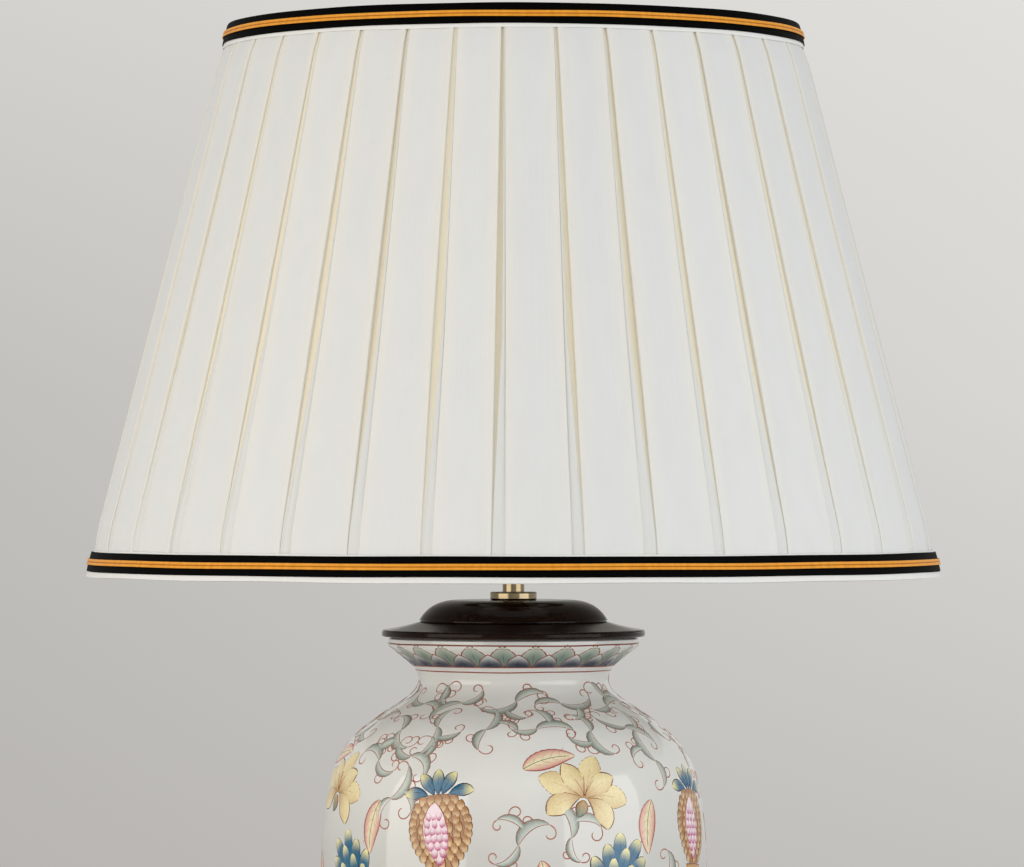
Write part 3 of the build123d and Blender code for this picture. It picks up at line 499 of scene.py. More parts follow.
# lines that bend as they run, in millimetres: heading = start + turn * t ^ bend, summed along t
def bentLines(startX, startY, heading, length, turn, t, bend=1.0):
    given = (startX, startY, heading, length, turn)
    startX, startY, heading, length, turn = (np.asarray(value)[:, None] for value in given)
    course = np.radians(heading + turn * ((t[1:] + t[:-1]) / 2) ** bend)
    step = length * np.diff(t)
    moves = (np.cos(course) * step, np.sin(course) * step)
    x, y = (np.pad(np.cumsum(move, axis=1), ((0, 0), (1, 0))) for move in moves)
    return np.stack([startX + x, startY + y], axis=-1)


# turns lines clockwise by an angle in degrees and makes them larger: (x c - y s, x s + y c) * size
def placed(lines, tilt, size):
    c, s = math.cos(math.radians(tilt)) * size, math.sin(math.radians(tilt)) * size
    return np.stack([lines[..., 0] * c - lines[..., 1] * s, lines[..., 0] * s + lines[..., 1] * c], axis=-1)


# colours of a stroke at a share t along it and q across it: one plain colour
def plain(colour):
    return lambda t, q: mixColours(colour, colour, t + 0 * q)


# a change along it, by a soft step of t
def alongMix(first, last, start=0.0, end=1.0):
    return lambda t, q: mixColours(first, last, softStep(start, end, t) + 0 * q)


# a change from its edges to its middle, by a power of 1 - |2q - 1|
def acrossMix(edge, middle, power=1.0):
    return lambda t, q: mixColours(edge, middle, (1 - np.abs(2 * q - 1)) ** power + 0 * t)


# a change from edge to edge, by a power of q
def sideMix(first, last, power=1.0):
    return lambda t, q: mixColours(first, last, q ** power + 0 * t)


# widths along a stroke, as shares of its widest: a power of a half sine, sin(pi t^a)^b, for a crescent, a
# petal widest near its tip, a husk and a scroll leaf
def halfSine(skew, power):
    return lambda t: np.sin(math.pi * t ** skew) ** power


crescentShape, petalShape = halfSine(0.85, 0.8), halfSine(1.3, 0.7)
huskShape, scrollShape = halfSine(0.85, 0.62), halfSine(0.85, 0.9)


# a scale with a round tip: part of a circle, sqrt(1 - (1.9 t - 0.9)^2)
def scaleShape(t):
    return np.sqrt(np.maximum(1 - (1.9 * t - 0.9) ** 2, 0))


# a line that thins at its end: even, then straight down to a quarter over its last eighth
def lineShape(t):
    return np.minimum(1, 6 * (1 - t) + 0.25)


# a collar that swells at its middle by a half sine
def collarShape(t):
    return 0.86 + 0.14 * np.sin(math.pi * t)


# a lappet: even for 0.3 of its height, then (1 - u^2)^0.85 over the rest, u from 0 to 1
def lappetShape(t):
    return np.maximum(1 - (np.maximum(t - 0.3, 0) / 0.7) ** 2, 0) ** 0.85


# a pointed scallop: 1 - t^2.1
def scallopShape(t):
    return 1 - t ** 2.1


# Brush marks, in millimetres: depth of rims and backs in the glaze, least half width, an outline's drop below
# its stroke, and the rim and waver of a line round the jar. The power crowd draws a stroke's columns to its
# rims, and backShare is its back's share of its width
mark = dict(rim=0.012, back=0.12, least=0.06, edge=0.04, ringRim=0.02, ringWaver=0.12, ringColumns=288,
            crowd=2.7, backShare=0.6)


# gathers the brush strokes of one painted piece, so that they become one mesh
class Painting:
    def __init__(self, name):
        self.name, self.total = name, 0
        self.points, self.faces, self.caps, self.tints = [], [], [], []

    # strokes along lines[n, m] at positions t: a low pillow, lift * (1 - q^8) * (1 - (2t - 1)^24), over q
    # from -1 to 1 across, with rims just under the glaze and a flat back deeper in it
    def brush(self, spots, t, lines, halfWidth, colours, lift, across=5, tones=None):
        count, along = lines.shape[:2]
        slope = np.gradient(lines, t, axis=1)
        slope /= np.maximum(np.linalg.norm(slope, axis=-1, keepdims=True), 1e-9)
        side = np.stack([-slope[..., 1], slope[..., 0]], axis=-1)
        t = t[:, None]
        even = np.linspace(-1, 1, across)
        rim = np.sign(even) * (1 - (1 - np.abs(even)) ** mark["crowd"])
        back = np.array([0.0]) if across == 3 else np.array([1, -1]) * mark["backShare"]
        q = np.concatenate([rim, back])
        pillow = lift * (1 - rim ** 8) * (1 - (2 * t - 1) ** 24) - mark["rim"]
        proud = np.concatenate([pillow, np.full((along, len(back)), -mark["back"])], axis=1)
        width = np.maximum(np.broadcast_to(halfWidth, (count, along)), mark["least"])
        flat = lines[:, :, None] + side[:, :, None] * (width[:, :, None] * q)[..., None]
        angle, down = (np.broadcast_to(value, (count,))[:, None, None] for value in spots)
        depth = down + flat[..., 1] * mm
        bearing = angle + flat[..., 0] * mm / np.interp(depth, jarDown, jarRadius)
        loop = len(q)
        first = self.total + np.arange(count)[:, None, None] * along * loop
        ends = np.stack([np.arange(loop)[::-1], (along - 1) * loop + np.arange(loop)])
        tint = np.broadcast_to(colours(t, (q + 1) / 2), (count, along, loop, 4)).copy()
        if tones is not None:
            tint[..., :3] *= tones[:, None, None, None]
        self.points.append(onJar(bearing, depth, proud * mm).reshape(-1, 3))
        self.faces.append((first + gridFaces(along, loop, wrapColumns=True)).reshape(-1, 4))
        self.caps.append((first + ends).reshape(-1, loop))
        self.tints.append(tint.reshape(-1, 4))
        self.total += count * along * loop

    # bent strokes of one motif at place = (angle, down, tilt, size), each over a wider outline stroke
    def strokes(self, place, x, y, heading, length, turn, width, shape, colours, lift, outline=None, edge=0.3,
            along=12, across=5, tones=None):
        angle, down, tilt, size = place
        given = (np.atleast_1d(value).astype(float) for value in (x, y, heading, length, turn, width))
        x, y, heading, length, turn, width = np.broadcast_arrays(*given)
        t = easeEnds(along)
        lines = placed(bentLines(x, y, heading, length, turn, t), tilt, size)
        widths = width[:, None] * shape(t) * size
        if outline is not None:
            self.brush((angle, down), t, lines, widths + edge, plain(outline), lift - mark["edge"], across)
        self.brush((angle, down), t, lines, widths, colours, lift, across, tones)

    # a line round the jar: a low ridge of four points carried round
    def ring(self, down, halfWidth, colour, lift):
        columns = mark["ringColumns"]
        q = np.array([-1.0, 0, 1, 0])
        proud = np.array([-mark["ringRim"], lift, -mark["ringRim"], -mark["back"]])
        angles = roundAngles(columns)[:, None]
        depth = down + q * halfWidth * mm + wander(angles, mark["ringWaver"] * mm, (3, 5, 8))
        self.points.append(onJar(angles, depth, proud * mm).reshape(-1, 3))
        self.faces.append(self.total + gridFaces(columns, 4, wrapRows=True, wrapColumns=True))
        self.tints.append(np.broadcast_to(linear(paint[colour]), (columns * 4, 4)))
        self.total += columns * 4

    # makes the mesh of all strokes so far
    def finish(self):
        points, faces, tints = (np.concatenate(part) for part in (self.points, self.faces, self.tints))
        addPiece(self.name, "lamp", "glazed_porcelain", points, faces, self.caps, tints, material=enamel)
        print(self.name, "painted:", len(faces), "quads")


# Painted decoration: traditional scrolling foliage with split fruits, lilies and leaves, and lappet borders
paint = dict(russet="#964b32", curl="#a9624b", pale="#d3d8d0", dim="#64766c", ochre="#b88f55", sand="#ecdcab",
    brown="#6e3a1c", pink="#bb4a80", blush="#f0dce4", scale="#e2c397", bark="#a3713f", teal="#0b5f83",
    cream="#ebe1a5", navy="#232a40", orange="#d25820", blue="#0d6e96", band="#be8c46", rose="#c85470",
    ivory="#f0ebc4", olive="#4c5233", slate="#1d2942", sage="#71877b", dew="#c3cbbd", white="#dfe2e0")
neckDown = jarDown[np.argmin(np.where(jarDown < 60 * mm, jarRadius, 1.0))]  # the narrowest place


# the strokes of a motif at a jar angle in degrees and a length below the neck; each gives x, y, heading,
# length, turn, half width, shape, colours and lift, then its outline's colour and width
def motifAt(painting, angle, below, tilt, size):
    return functools.partial(painting.strokes, (math.radians(angle), neckDown + below * mm, tilt, size))


# a split fruit: husk of overlapping scales, a lens of seeds, striped calyx, banded collar and leafy top
def paintFruit(stroke):
    stroke(0, -22, 90, 46, 0, 18.5, huskShape, plain("bark"), 0.05, "brown", 0.4, along=18, across=15)
    for row in range(10):
        y = 17 - 3.9 * row
        reach = 17.8 * huskShape((y + 23) / 46)
        count = max(3, 2 * int(reach / 4.6) + row % 2)
        x = np.linspace(-1, 1, count) * (reach - 2.0)
        stroke(x, y - 3.2, 90 - 1.1 * x, 6.2, 0, 2.4, scaleShape, alongMix("bark", "scale", 0.25, 0.9),
            0.1 + 0.018 * (10 - row), "brown", 0.28, along=8, tones=rng.uniform(0.88, 1.08, count))
    stroke(-2, -17, 98, 36, -22, 8.2, crescentShape, plain("blush"), 0.34, "russet", 0.4, along=16, across=9)
    for row in range(7):
        y = 15.5 - 4.1 * row
        reach = 6.8 * math.sin(math.pi * (y + 17.5) / 36)
        count = 1 + int(reach / 2.2)
        x = np.linspace(-1, 1, count) * (reach - 1.5) - 2.0 + 0.09 * (y - 3)
        stroke(x, y - 2.6, 90, 5.4, 0, 2.1, scaleShape, alongMix("blush", "pink", 0.3, 0.9),
            0.4 + 0.02 * (7 - row), "rose", 0.22, along=8, tones=rng.uniform(0.9, 1.06, count))
    fan = np.linspace(-34, 34, 6)
    for side, (dark, light) in enumerate((("navy", "blue"), ("orange", "cream"))):
        lean = fan[side::2]
        x, sink, heading, turn = lean * 0.2, 0.02 * np.abs(lean), 90 - lean * 0.6, -lean * 0.5
        stroke(x, 25 - sink, heading, 27 - 0.1 * np.abs(lean), turn, 3.8, petalShape,
            alongMix(dark, light, 0.4, 1.0), 0.12 + 0.06 * side, "navy", 0.25)
        stroke(x, 26 - sink, heading, 22, turn, 0.35, lineShape, plain("cream"), 0.25, along=8, across=3)
    stroke(-10, 24, 0, 20, 0, 3.1, collarShape, plain("band"), 0.34, "brown", 0.35, along=10)
    beads = np.linspace(-8.2, 6.2, 6)
    stroke(beads, 24, 0, 2.3, 0, 1.5, scaleShape, plain("cream"), 0.42, "brown", 0.25, along=8)
    lean = np.array([-62.0, 62, -24, 24, 0])
    x, heading = lean * 0.1, -90 + lean
    stroke(x, -21, heading, 15, lean * 0.8, 3.6, petalShape, alongMix("teal", "cream", 0.45, 1.0), 0.2,
        "navy", 0.25)
    stroke(x, -21.5, heading, 10, lean * 0.55, 0.3, lineShape, plain("navy"), 0.29, along=8, across=3)


# a lily petal's colours: ochre at its base, paling along it and less so towards one edge
def lilyShade(t, q):
    return mixColours("ochre", "sand", softStep(-0.1, 0.6, t) * (1 - 0.5 * q ** 3))


# a lily: back petals, turned-back front petals, a vein down each, stamens and a calyx
def paintLily(stroke):
    back, front = np.array([-64.0, 2, 60]), np.array([-104.0, -34, 30, 98])
    for lean, length, width, lift in ((back, 25, 6.6, 0.1), (front, 21, 5.8, 0.2)):
        foot = lean * 0.02, 4, -90 + lean
        stroke(*foot, length, lean * 0.6 + 14, width, petalShape, lilyShade, lift, "brown", 0.28,
            along=14, across=7)
        stroke(*foot, length * 0.72, lean * 0.43 + 10, 0.24, lineShape, plain("band"), lift + 0.05,
            along=10, across=3)
    lean = np.array([-26.0, -6, 16])
    stroke(0, 3, -90 + lean, 11, lean, 0.26, lineShape, plain("russet"), 0.32, along=8, across=3)
    stroke(0, 5, 90, 10, 24, 3.4, crescentShape, alongMix("ochre", "sage"), 0.27, "brown", 0.28, along=10)


# a leaf with a blushing edge: cream within, an olive vein and side veins
def paintLeaf(stroke, turn):
    stroke(0, 0, 0, 31, turn, 6.2, crescentShape, acrossMix("rose", "ivory", 0.6), 0.13, "russet",
        along=16, across=9)
    stroke(0, 0, 0, 29, turn * 0.94, 0.5, lineShape, plain("olive"), 0.22, along=14, across=3)
    vein = np.arange(4)
    x = 6 + 5.2 * vein
    for side in (-1, 1):
        stroke(x, turn * 0.004 * x, side * 48 + turn * 0.2 * vein, 5.2, -side * 20, 0.2, lineShape,
            plain("rose"), 0.19, along=6, across=3)


# a spray of broad teal leaves with cream tips, row over row like roof tiles
def paintSpray(stroke):
    for row, count in enumerate((2, 3, 4, 3)):
        x = (np.arange(count) - (count - 1) / 2) * 6.6
        y, heading, lift = 7.6 * row, -90 + 3.2 * x, 0.06 * row
        stroke(x, -4 + y, heading, 17, 1.6 * x, 4.5, scaleShape, alongMix("teal", "cream", 0.5, 1.02),
            0.1 + lift, "navy", 0.25, across=7, tones=rng.uniform(0.88, 1.1, count))
        stroke(x, -5 + y, heading, 11, 1.0 * x, 0.4, lineShape, plain("navy"), 0.15 + lift, along=8, across=3)


# sprays of scrolling leaves: a main leaf, one that goes on from its foot as an S, and one that leaves its
# back; each is shaded from its outer to its inner edge, and hooks curl from the leaves' ends and backs
def paintScrolls(painting, angles, downs):
    leafAt, hookAt = easeEnds(13), np.linspace(0, 1, 16)
    middle = len(leafAt) // 2 - 1
    headings = rng.uniform(0, 360, len(angles))
    for hand in (1, -1):
        some = np.arange((1 - hand) // 2, len(angles), 2)
        count, heading = len(some), headings[some]
        spots, none = (angles[some], downs[some]), np.zeros(count)
        turn = hand * rng.uniform(95, 145, count)
        less = turn * 0.9
        footCourse, backCourse = heading + 180, heading + turn * leafAt[middle] - hand * 58
        main = bentLines(none, none, heading, rng.uniform(21, 26, count), turn, leafAt)
        foot = bentLines(none, none, footCourse, rng.uniform(15, 19, count), less, leafAt)
        back = bentLines(*main[:, middle].T, backCourse, rng.uniform(14, 18, count), -less, leafAt)
        for lines, bent, course, wide in ((main, turn, heading, 2.7), (foot, less, footCourse, 2.2),
                (back, -less, backCourse, 2.1)):
            inner = np.sign(bent[0])
            widths = rng.uniform(0.85, 1.15, (count, 1)) * wide * scrollShape(leafAt)
            shade = sideMix("dim", "pale", 0.7) if inner > 0 else sideMix("pale", "dim", 1.4)
            painting.brush(spots, leafAt, lines, widths + 0.28, plain("russet"), 0.08)
            painting.brush(spots, leafAt, lines, widths, shade, 0.13, 5, rng.uniform(0.9, 1.1, count))
            endHook = -1, course + bent, 270, 13
            backHook = middle + 2, course + bent * 0.6 - inner * 74, -330, 14
            for at, start, curl, size in (endHook, backHook):
                curls = inner * curl * rng.uniform(0.9, 1.15, count)
                lengths = size * rng.uniform(0.85, 1.2, count)
                hooks = bentLines(*lines[:, at].T, start, lengths, curls, hookAt, bend=1.5)
                painting.brush(spots, hookAt, hooks, 0.34 * lineShape(hookAt), plain("curl"), 0.17, 3)


# places for scrolls: rows of even spacing with seeded shifts, less those that meet a larger motif's ellipse
def scrollPlaces(first, last, motifs, gap):
    found = []
    for row, below in enumerate(np.arange(first, last, gap * 0.8)):
        radius = float(np.interp(neckDown + below * mm, jarDown, jarRadius)) / mm
        count = int(round(fullTurn * radius / gap))
        angles = (np.arange(count) + 0.5 * (row % 2)) / count * 360 + rng.uniform(-4, 4, count) * 60 / radius
        spots = np.stack([angles, below + rng.uniform(-3, 3, count)], axis=1)
        clear = np.ones(count, bool)
        for angle, centre, halfWide, halfHigh in motifs:
            aside = (spots[:, 0] - angle + 180) % 360 - 180
            across, down = np.radians(aside) * radius / halfWide, (spots[:, 1] - centre) / halfHigh
            clear &= across ** 2 + down ** 2 > 1
        found.append(spots[clear])
    return np.concatenate(found)


# Layout: tiers (length below the neck, turn), four groups each; leaves (angle, below, tilt, size, bend) and
# the ellipses that the larger motifs keep clear of scrolls (angle, below, half width, half height)
layout = dict(tiers=((0, 0), (146, 45)), groups=4, scrollGap=27.5,
    scrolls=dict(enamel_scrolls=(15, 134), enamel_lower_scrolls=(134, 304)),
    leaves=((3, 64, -35, 0.95, 40), (46, 82, 120, 0.95, -40), (8, 112, 70, 0.9, 45)),
    clear=((-22, 100, 31, 52), (22, 72, 30, 28), (33, 116, 24, 28),
        (10, 60, 20, 15), (42, 94, 17, 20), (9, 124, 15, 20)))
fruits, blossoms, leaves = Painting("enamel_fruit"), Painting("enamel_blossoms"), Painting("enamel_leaves")
motifs = []
for below, shift in layout["tiers"]:
    for group in range(layout["groups"]):
        turnTo = 360 // layout["groups"] * group + shift
        paintFruit(motifAt(fruits, turnTo - 22, below + 98, rng.uniform(-9, 9), 0.94))
        paintLily(motifAt(blossoms, turnTo + 22, below + 76, rng.uniform(-25, 25), 1.0))
        paintSpray(motifAt(blossoms, turnTo + 33, below + 118, rng.uniform(-30, 30), 0.9))
        for angle, drop, tilt, size, bend in layout["leaves"]:
            paintLeaf(motifAt(leaves, turnTo + angle, below + drop, tilt, size), bend)
        motifs += [(turnTo + angle, below + drop, wide, high) for angle, drop, wide, high in layout["clear"]]
for name, (first, last) in layout["scrolls"].items():
    scrolls = Painting(name)
    spots = scrollPlaces(first, last, motifs, layout["scrollGap"])
    paintScrolls(scrolls, np.radians(spots[:, 0]), neckDown + spots[:, 1] * mm)
    scrolls.finish()

# Borders on lip and foot: drops below the rim of the lappets' base, the scallops' tips, the lappets' tips and
# the lines above and below; millimetres, and turns in degrees
border = dict(count=24, points=14, bands=((14.8, 7.5, 2.4, 3.0, 17.4), (333, 325.5, 318, 318.6, 335.6)),
              lappetTurn=10.0, lappetVeins=((0, 0.66), (-22, 0.5), (22, 0.5)),  # lean, share of the height
              scallopTurn=2.5, scallopVeins=((0, 0.62), (-30, 0.5), (30, 0.5)),
              edge=0.4, tipEdge=0.5, leastShare=0.82, vein=0.36, line=0.4, lineLift=0.36)


# colours of a lappet: sage about the middle of its base, paling outwards with the distance from there
def lappetShade(t, q):
    return mixColours("sage", "dew", softStep(0.4, 1.05, np.hypot(t, 1.3 * q - 0.65)))


# colours of a scallop: slate there, paling to white in the same way
def scallopShade(t, q):
    return mixColours("slate", "white", softStep(0.15, 1.05, np.hypot(t, 0.8 * q - 0.4)) ** 1.4)


# lappets standing on a base line: strokes that rise to a top line, as wide there as their part of the girth
def paintLappets(painting, turn, base, top, shape, colours, lift, veins):
    count = border["count"]
    spots = roundAngles(count) + math.radians(turn), base
    height = (base - top) / mm
    t = np.sin(np.linspace(0, math.pi / 2, border["points"]))
    girth = np.interp(base - t * height * mm, jarDown, jarRadius) / mm * math.pi / count
    lines = np.broadcast_to(np.stack([0 * t, -height * t], axis=-1), (count, len(t), 2))
    widths = girth * shape(t) + np.zeros((count, 1))
    inside = np.maximum(widths - border["edge"], widths * border["leastShare"])
    lower = lines * np.array([1.0, 1 - border["tipEdge"] / height])
    painting.brush(spots, t, lines, widths, plain("russet"), lift, 9)
    painting.brush(spots, t, lower, inside, colours, lift + 0.06, 9, rng.uniform(0.94, 1.06, count))
    none = np.zeros(count)
    for lean, reach in veins:
        ribs = bentLines(none, none, none + lean - 90, none + height * reach, none, t)
        painting.brush(spots, t, ribs, border["vein"] * lineShape(t), plain("navy"), lift + 0.1, 3)


borders = Painting("enamel_borders")
for base, fine, broad, above, below in border["bands"]:
    low, middle, high = (downAt(drop) for drop in (base, fine, broad))
    paintLappets(borders, border["lappetTurn"], low, high, lappetShape, lappetShade, 0.06,
        border["lappetVeins"])
    paintLappets(borders, border["scallopTurn"], low, middle, scallopShape, scallopShade, 0.2,
        border["scallopVeins"])
    for drop in (above, base, below):
        borders.ring(downAt(drop), border["line"], "russet", border["lineLift"])
for painting in (fruits, blossoms, leaves, borders):
    painting.finish()

# Shade cloth: 36 flat panels on the CAD taper. Each two meet over a deep slot beside the panel farther from
# the front, which is widest at mid height and closes below, where a shallow strip of the under-layer opens
# beside it. Lengths in millimetres; slot and strip are given at the shares of the height
pleat = dict(count=36, rows=44, turn=-1.6, uneven=0.2, spread=(0.82, 1.2),
             share=(0, 0.1, 0.25, 0.42, 0.65, 1), slot=(0.35, 0.9, 2.4, 4.3, 3.4, 1.4),
             slotDepth=(0.5, 0.75, 1.35, 1.8, 1.6, 1.2), strip=(6.6, 5.8, 3.9, 1.5, 0.9, 0.5),
             stripDepth=(0.9, 0.95, 1.0, 0.9, 0.7, 0.55),
             gather=(1.0, 1.7),  # degrees by which folds lie closer in front and behind, below and above
             roll=0.35, rollReach=1.6, bead=(0.3, 1.4, 1.1), dip=(0.4, 5.2, 2.2), hollow=0.8, back=3.8,
             backStep=6, puff=1.5, puffReach=(-3.0, 12.0), cloth="#d9dad9", tones=(0.985, 1.01),
             # painted light in the tints: edge is a painted highlight on the panels' edges, fold is painted
             # shade in the slots, and inner, a little darker than the cloth, is painted shade on the recessed
             # under-layer
             edge="#dfddd6", highlightReach=4.5, highlightFade=(-0.3, 0.5), fold="#e1d9c3", foldShadeFade=(-0.15, 0.4),
             inner="#d5d6d3")
# Binding: cloth folded over each edge of the shade; above, its outer leg ends short of its inner one
binding = dict(thick=0.6, press=0.3, shorter=dict(top=1.2, bottom=0.0), cut=37.5, cloth="#e1e1de", waver=0.25,
               leg=0.8, shoulder=0.97)  # shares of its depth at which the fold starts and is nearly closed
pleatPoints = cadPoints("shade_pleats")
pleatLow, pleatHigh = pleatPoints[:, 2].min(), pleatPoints[:, 2].max()
wallLow = axisReach(pleatPoints)[pleatPoints[:, 2] < pleatLow + touch].max()
wallHigh = axisReach(pleatPoints)[pleatPoints[:, 2] > pleatHigh - touch].max()
meanGirth = fullTurn * (wallLow + wallHigh) / 2


# radius of the shade's wall at a height: a straight line between its lower and upper edges
def wallAt(level):
    return wallLow + (wallHigh - wallLow) * (level - pleatLow) / (pleatHigh - pleatLow)


# where a band of the CAD lies: its heights, and its reach from the shade's wall
def bandSpan(node):
    points = cadPoints(node)
    reach = axisReach(points) - wallAt(points[:, 2])
    return points[:, 2].min(), points[:, 2].max(), reach.min(), reach.max()


# one period of columns is a fold, from its slot at u = 0 to its strip, then a panel, p from 0 to 1; folds are
# centred on the seams, and those on the right half are mirrored, so that slots lie away from the front
def makePleats():
    count = pleat["count"]
    slotShares, stripShares = np.array([0.04, 0.5, 0.93, 1, 1, 1, 1]), np.array([0, 0, 0, 0, 0.4, 0.75, 0.94])
    deepShares, softShares = np.array([1, 1, 1, 0, 0, 0, 0]), np.array([0, 0, 0, 0.4, 0.45, 0.65, 1])
    p = np.array([0, 0.012, 0.035, 0.075, 0.15, 0.3, 0.5, 0.7, 0.85, 0.925, 0.965, 0.988, 1])
    t = np.linspace(0, 1, pleat["rows"])[:, None, None]
    level = pleatLow + (pleatHigh - pleatLow) * t
    bindingTop = bandSpan("top_binding")[0] + binding["shorter"]["top"] * mm
    bindingLow = bandSpan("bottom_binding")[1]
    free = np.minimum(level - bindingLow, bindingTop - level)
    wall = wallAt(level) + pleat["puff"] * mm * softStep(*(at * mm for at in pleat["puffReach"]), free)
    seam = pleat["turn"] + 360 / count * np.arange(count) + rng.normal(0, pleat["uneven"], count)
    seam = np.radians(seam)[None, :, None]
    seam = seam - np.radians(np.interp(t, (0, 1), pleat["gather"])) * np.sin(2 * seam)
    seam = seam + np.radians(rng.normal(0, pleat["uneven"], count))[None, :, None] * (t - 0.5)
    slot, strip, slotDepth, stripDepth = (
        np.interp(t, pleat["share"], pleat[name]) * rng.uniform(*pleat["spread"], count)[:, None]
        for name in ("slot", "strip", "slotDepth", "stripDepth"))
    half = (slot + strip) * mm / 2 / wall
    mirrored = np.sin(seam[:1]) > 0
    # folds, tinted with painted shade: tan in the slots, weaker towards the bottom, and a slightly darker
    # grey on the under-layer's strips
    u = (slot * slotShares + strip * stripShares) * mm / wall
    foldAngles = np.where(mirrored, (seam + half - u)[..., ::-1], seam - half + u)
    depth = np.maximum(slotDepth * deepShares + stripDepth * softShares, pleat["roll"])
    depth = np.where(mirrored, depth[..., ::-1], depth)
    foldRadii = wall - depth * mm
    shadedSlots = np.where(mirrored, deepShares[::-1], deepShares) + 0 * depth
    paintedFoldShade = mixColours(pleat["inner"], pleat["fold"], shadedSlots * softStep(*pleat["foldShadeFade"], t))
    # panels, with rolled edges and a bead and dip along the edge that overlaps a slot, and a painted
    # highlight, paler and warmer, along their edges, weaker towards the bottom
    nextSeam = np.concatenate([seam[:, 1:], seam[:, :1] + fullTurn], axis=1)
    start, end = seam + half, nextSeam - np.roll(half, -1, axis=1)
    panelAngles = start + (end - start) * p
    middle, wide = (start + end) / 2, (end - start) / 2
    gaps = [share * 2 * wide * wall / mm for share in (p, 1 - p)]
    edgeGap = np.minimum(*gaps)
    beads = [hump(gap, *pleat["bead"]) - hump(gap, *pleat["dip"]) for gap in gaps]
    bead = np.where(mirrored, beads[0], 0) + np.where(np.roll(mirrored, -1, axis=1), 0, beads[1])
    rolled = hump(edgeGap, pleat["roll"], 0, pleat["rollReach"])
    flat = np.cos(wide) / np.cos(panelAngles - middle)
    panelRadii = wall * (1 - pleat["hollow"] * (1 - flat)) - (rolled - bead) * mm
    paintedHighlightShare = hump(edgeGap, 1, 0, pleat["highlightReach"]) * softStep(*pleat["highlightFade"], t)
    panelTint = mixColours(pleat["cloth"], pleat["edge"], paintedHighlightShare)
    panelTint[..., :3] *= rng.uniform(*pleat["tones"], count)[None, :, None, None]
    # the outer face, then a plain inner face on fewer rows
    angles, radii = (np.concatenate(pair, axis=2).reshape(pleat["rows"], -1)
        for pair in ((foldAngles, panelAngles), (foldRadii, panelRadii)))
    tint = np.concatenate([paintedFoldShade, panelTint], axis=2).reshape(pleat["rows"], -1, 4)
    inside = slice(None, None, -pleat["backStep"])
    allAngles = np.concatenate([angles, angles[inside]])
    allRadii = np.concatenate([radii, (wall[:, 0] - pleat["back"] * mm)[inside] + 0 * radii[inside]])
    levels = np.concatenate([level[:, 0], level[inside, 0]])
    allTint = np.concatenate([tint, tint[inside] * 0 + np.array(linear(pleat["cloth"]))])
    rows, columns = allAngles.shape
    around = np.arange(columns + 1) / columns * meanGirth
    upDown = np.concatenate([levels, levels[:1]])
    places = np.stack(np.broadcast_arrays(around, upDown), axis=-1)
    piece = addPiece("pleated_cloth", "shade", "pleat_cloth", turned(allRadii, levels, allAngles),
        gridFaces(rows, columns, True, True), tint=allTint, uvs=gridCorners(places),
        replaced=("shade_pleats",), crease=80)


makePleats()
print("pleats folded")

# Trims: black satin tape with gold braid along its middle
# the braid's groove colour is painted shade between its gold ridges
trim = dict(tape="#040404", braidGrooveShade="#97540a", braidRidge="#e2982f", waver=0.12, columns=240)


# a closed section carried round the shade as cloth; its UV map is a length round by lengths along the section
def addCloth(name, slot, node, points, tint, length, along, crease):
    columns, count = points.shape[:2]
    around = np.arange(columns + 1) / columns * length
    places = np.stack(np.broadcast_arrays(around[:, None], along), axis=-1)
    return addPiece(name, "shade", slot, points, gridFaces(columns, count, True, True),
        uvs=gridCorners(places), tint=np.broadcast_to(tint, (columns, count, 4)), replaced=(node,),
        crease=crease)


# a strip of cloth on the shade: a section (offset from the wall, height), with a seeded waver
def addBand(name, slot, node, offsets, levels, tint, waver):
    angles = roundAngles(trim["columns"])[:, None]
    heights = levels + wander(angles, waver * mm, (2, 5, 9, 14))
    points = turned(wallAt(heights) + offsets, heights, angles)
    along = np.concatenate([[0], np.cumsum(np.hypot(np.diff(offsets), np.diff(levels)))])
    along = np.append(along, 2 * along[-1] - along[-2])
    return addCloth(name, slot, node, points, tint, fullTurn * float(wallAt(levels.mean())), along, 70)


# a tape's section, a flat strip with round edges: |x|^n + |y|^n = 1, stretched to the band
def tapeSection(span, power=3.0, count=20):
    low, high, near, far = span
    turn = roundAngles(count)
    c, s = np.cos(turn), np.sin(turn)
    offsets = (near + far) / 2 + (far - near) / 2 * np.sign(c) * np.abs(c) ** (2 / power)
    levels = (low + high) / 2 + (high - low) / 2 * np.sign(s) * np.abs(s) ** (2 / power)
    return offsets, levels


# a braid's section and colours: flat behind, and in front two ridges, 0.35 + 0.65 |sin 2a|^0.6 of its depth,
# with painted shade, a dark brown, in the groove between them
def braidSection(span, count=24):
    low, high, near, far = span
    turn = roundAngles(count)
    ridge = np.abs(np.sin(turn * 2))
    offsets = np.where(np.cos(turn) > -0.01, near + (far - near) * (0.35 + 0.65 * ridge ** 0.6), near)
    levels = (low + high) / 2 + (high - low) / 2 * np.sin(turn)
    return offsets, levels, mixColours(trim["braidGrooveShade"], trim["braidRidge"], softStep(0.05, 0.5, ridge))


# a binding's section: from the pressed edge of its outer leg to the fold and back along its inner leg, then
# the same line one thickness further in
def bindingSection(span, rises, shorter):
    low, high, near, far = span
    thick, press = binding["thick"] * mm, binding["press"] * mm
    leg, shoulder, depth = binding["leg"], binding["shoulder"], high - low
    outer = shorter + (leg * depth - shorter) * np.array([0, 0.06, 0.25, 0.6, 1])
    reach = np.concatenate([[far - press], np.full(5, far), [(near + far) / 2], np.full(6, near)])
    fold, inward = np.array([shoulder, 1.0, shoulder]), np.linspace(leg, 0, 5)
    along = np.concatenate([outer, fold * depth, inward * depth])
    side = np.concatenate([[press - thick], np.full(5, -thick), [0], np.full(6, thick)])
    inner = np.concatenate([along[:5], along[5:8] - thick, along[8:]])
    levels = np.concatenate([along, inner[::-1]])
    offsets = np.concatenate([reach, (reach + side)[::-1]])
    return offsets, (low + levels if rises else high - levels)


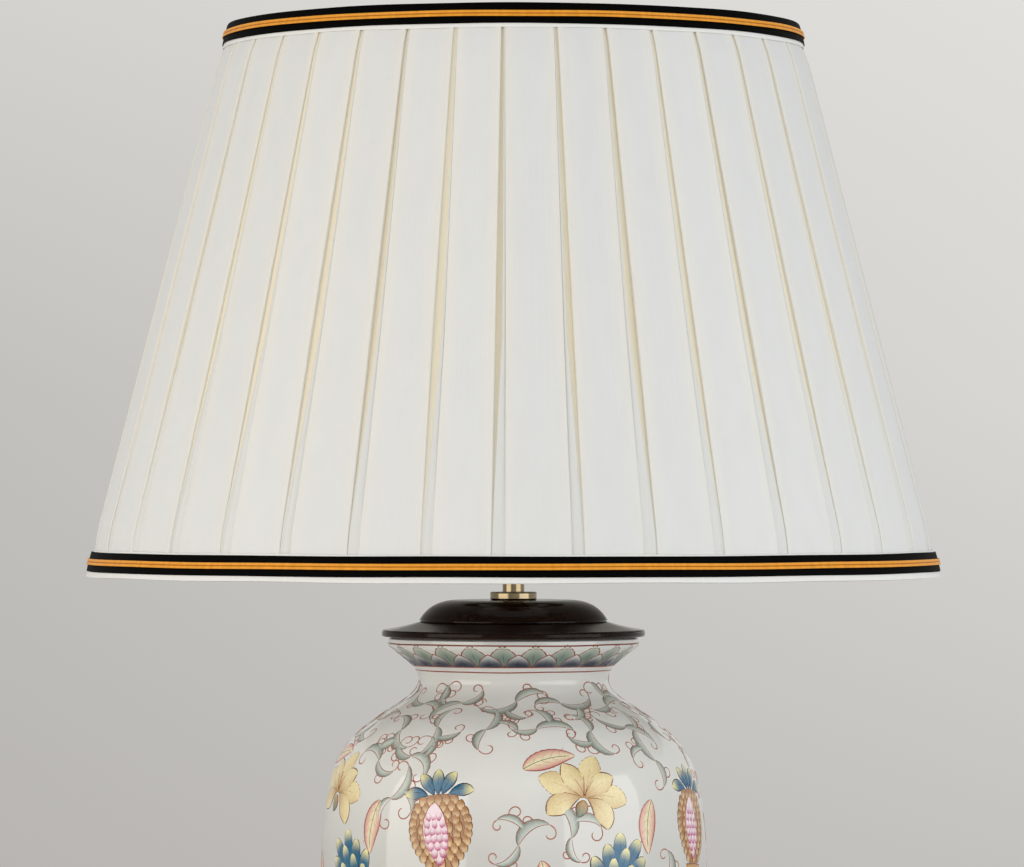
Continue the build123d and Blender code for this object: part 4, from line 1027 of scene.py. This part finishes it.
# both edges of the shade: binding folded over the edge, tape laid on it, and braid on the tape
def makeTrims():
    for edge, rises in (("top", True), ("bottom", False)):
        bindingSpan, tapeSpan = bandSpan(edge + "_binding"), bandSpan(edge + "_trim_black")
        section = bindingSection(bindingSpan, rises, binding["shorter"][edge] * mm)
        folded = addBand(edge + "_bias_binding", "binding_cloth", edge + "_binding", *section,
            linear(binding["cloth"]), binding["waver"])
        tape = addBand(edge + "_satin_tape", "black_tape", edge + "_trim_black", *tapeSection(tapeSpan),
            linear(trim["tape"]), trim["waver"])
        braid = addBand(edge + "_gold_braid", "gold_braid", edge + "_trim_gold",
            *braidSection(bandSpan(edge + "_trim_gold")), trim["waver"])
        print(edge, "trims laid")


# Lining: a thin plain cone of cloth inside the frame, where the CAD lining lies
lining = dict(rows=12, columns=192, cloth="#e6e5df")


# the outer face upwards, then the inner face downwards, carried round
def makeLining():
    low, high, near, far = bandSpan("shade_lining")
    up = np.linspace(low, high, lining["rows"])
    heights = np.concatenate([up, np.linspace(high, low, lining["rows"])])
    points = turned(wallAt(heights) + np.repeat([far, near], lining["rows"]), heights,
        roundAngles(lining["columns"])[:, None])
    piece = addCloth("cloth_lining", "lining_cloth", "shade_lining", points, linear(lining["cloth"]),
        meanGirth, np.append(heights, low), 60)


# Felt and cork: columns round the ring, and the part of the thickness that its outer edges round off
washer = dict(columns=160, soften=0.3)


# a flat ring or disc of soft stuff with rounded edges: eight points, carried round with a seeded waver
def addWasher(name, slot, node, inner, waver):
    columns = washer["columns"]
    points = cadPoints(node)
    low, high, outer = points[:, 2].min(), points[:, 2].max(), axisReach(points).max()
    soft, middle = (high - low) * washer["soften"], (inner + outer) / 2
    radii = np.array([inner, middle, outer - soft, outer, outer, outer - soft, middle, inner])
    levels = np.array([low, low, low, low + soft, high - soft, high, high, high])
    angles = roundAngles(columns)[:, None]
    drift = wander(angles, waver, (3, 7, 11)) * (radii > inner + 1e-6)
    piece = addPiece(name, "lamp", slot, turned(radii + drift - waver, levels, angles),
        gridFaces(columns, len(radii), True, True), replaced=(node,), crease=60)
    if inner == 0:
        weldPoles(piece)
    return piece


makeTrims()
makeLining()
felt = addWasher("felt_pad", "felt", "base_felt", 0.0, 0.2 * mm)
for node in ("neck_gasket", "foot_gasket"):
    inside = axisReach(cadPoints(node)).min()
    addWasher(node.replace("gasket", "cork_ring"), "cork_rubber", node, inside, 0.05 * mm)
print("soft pieces made")

low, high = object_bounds()
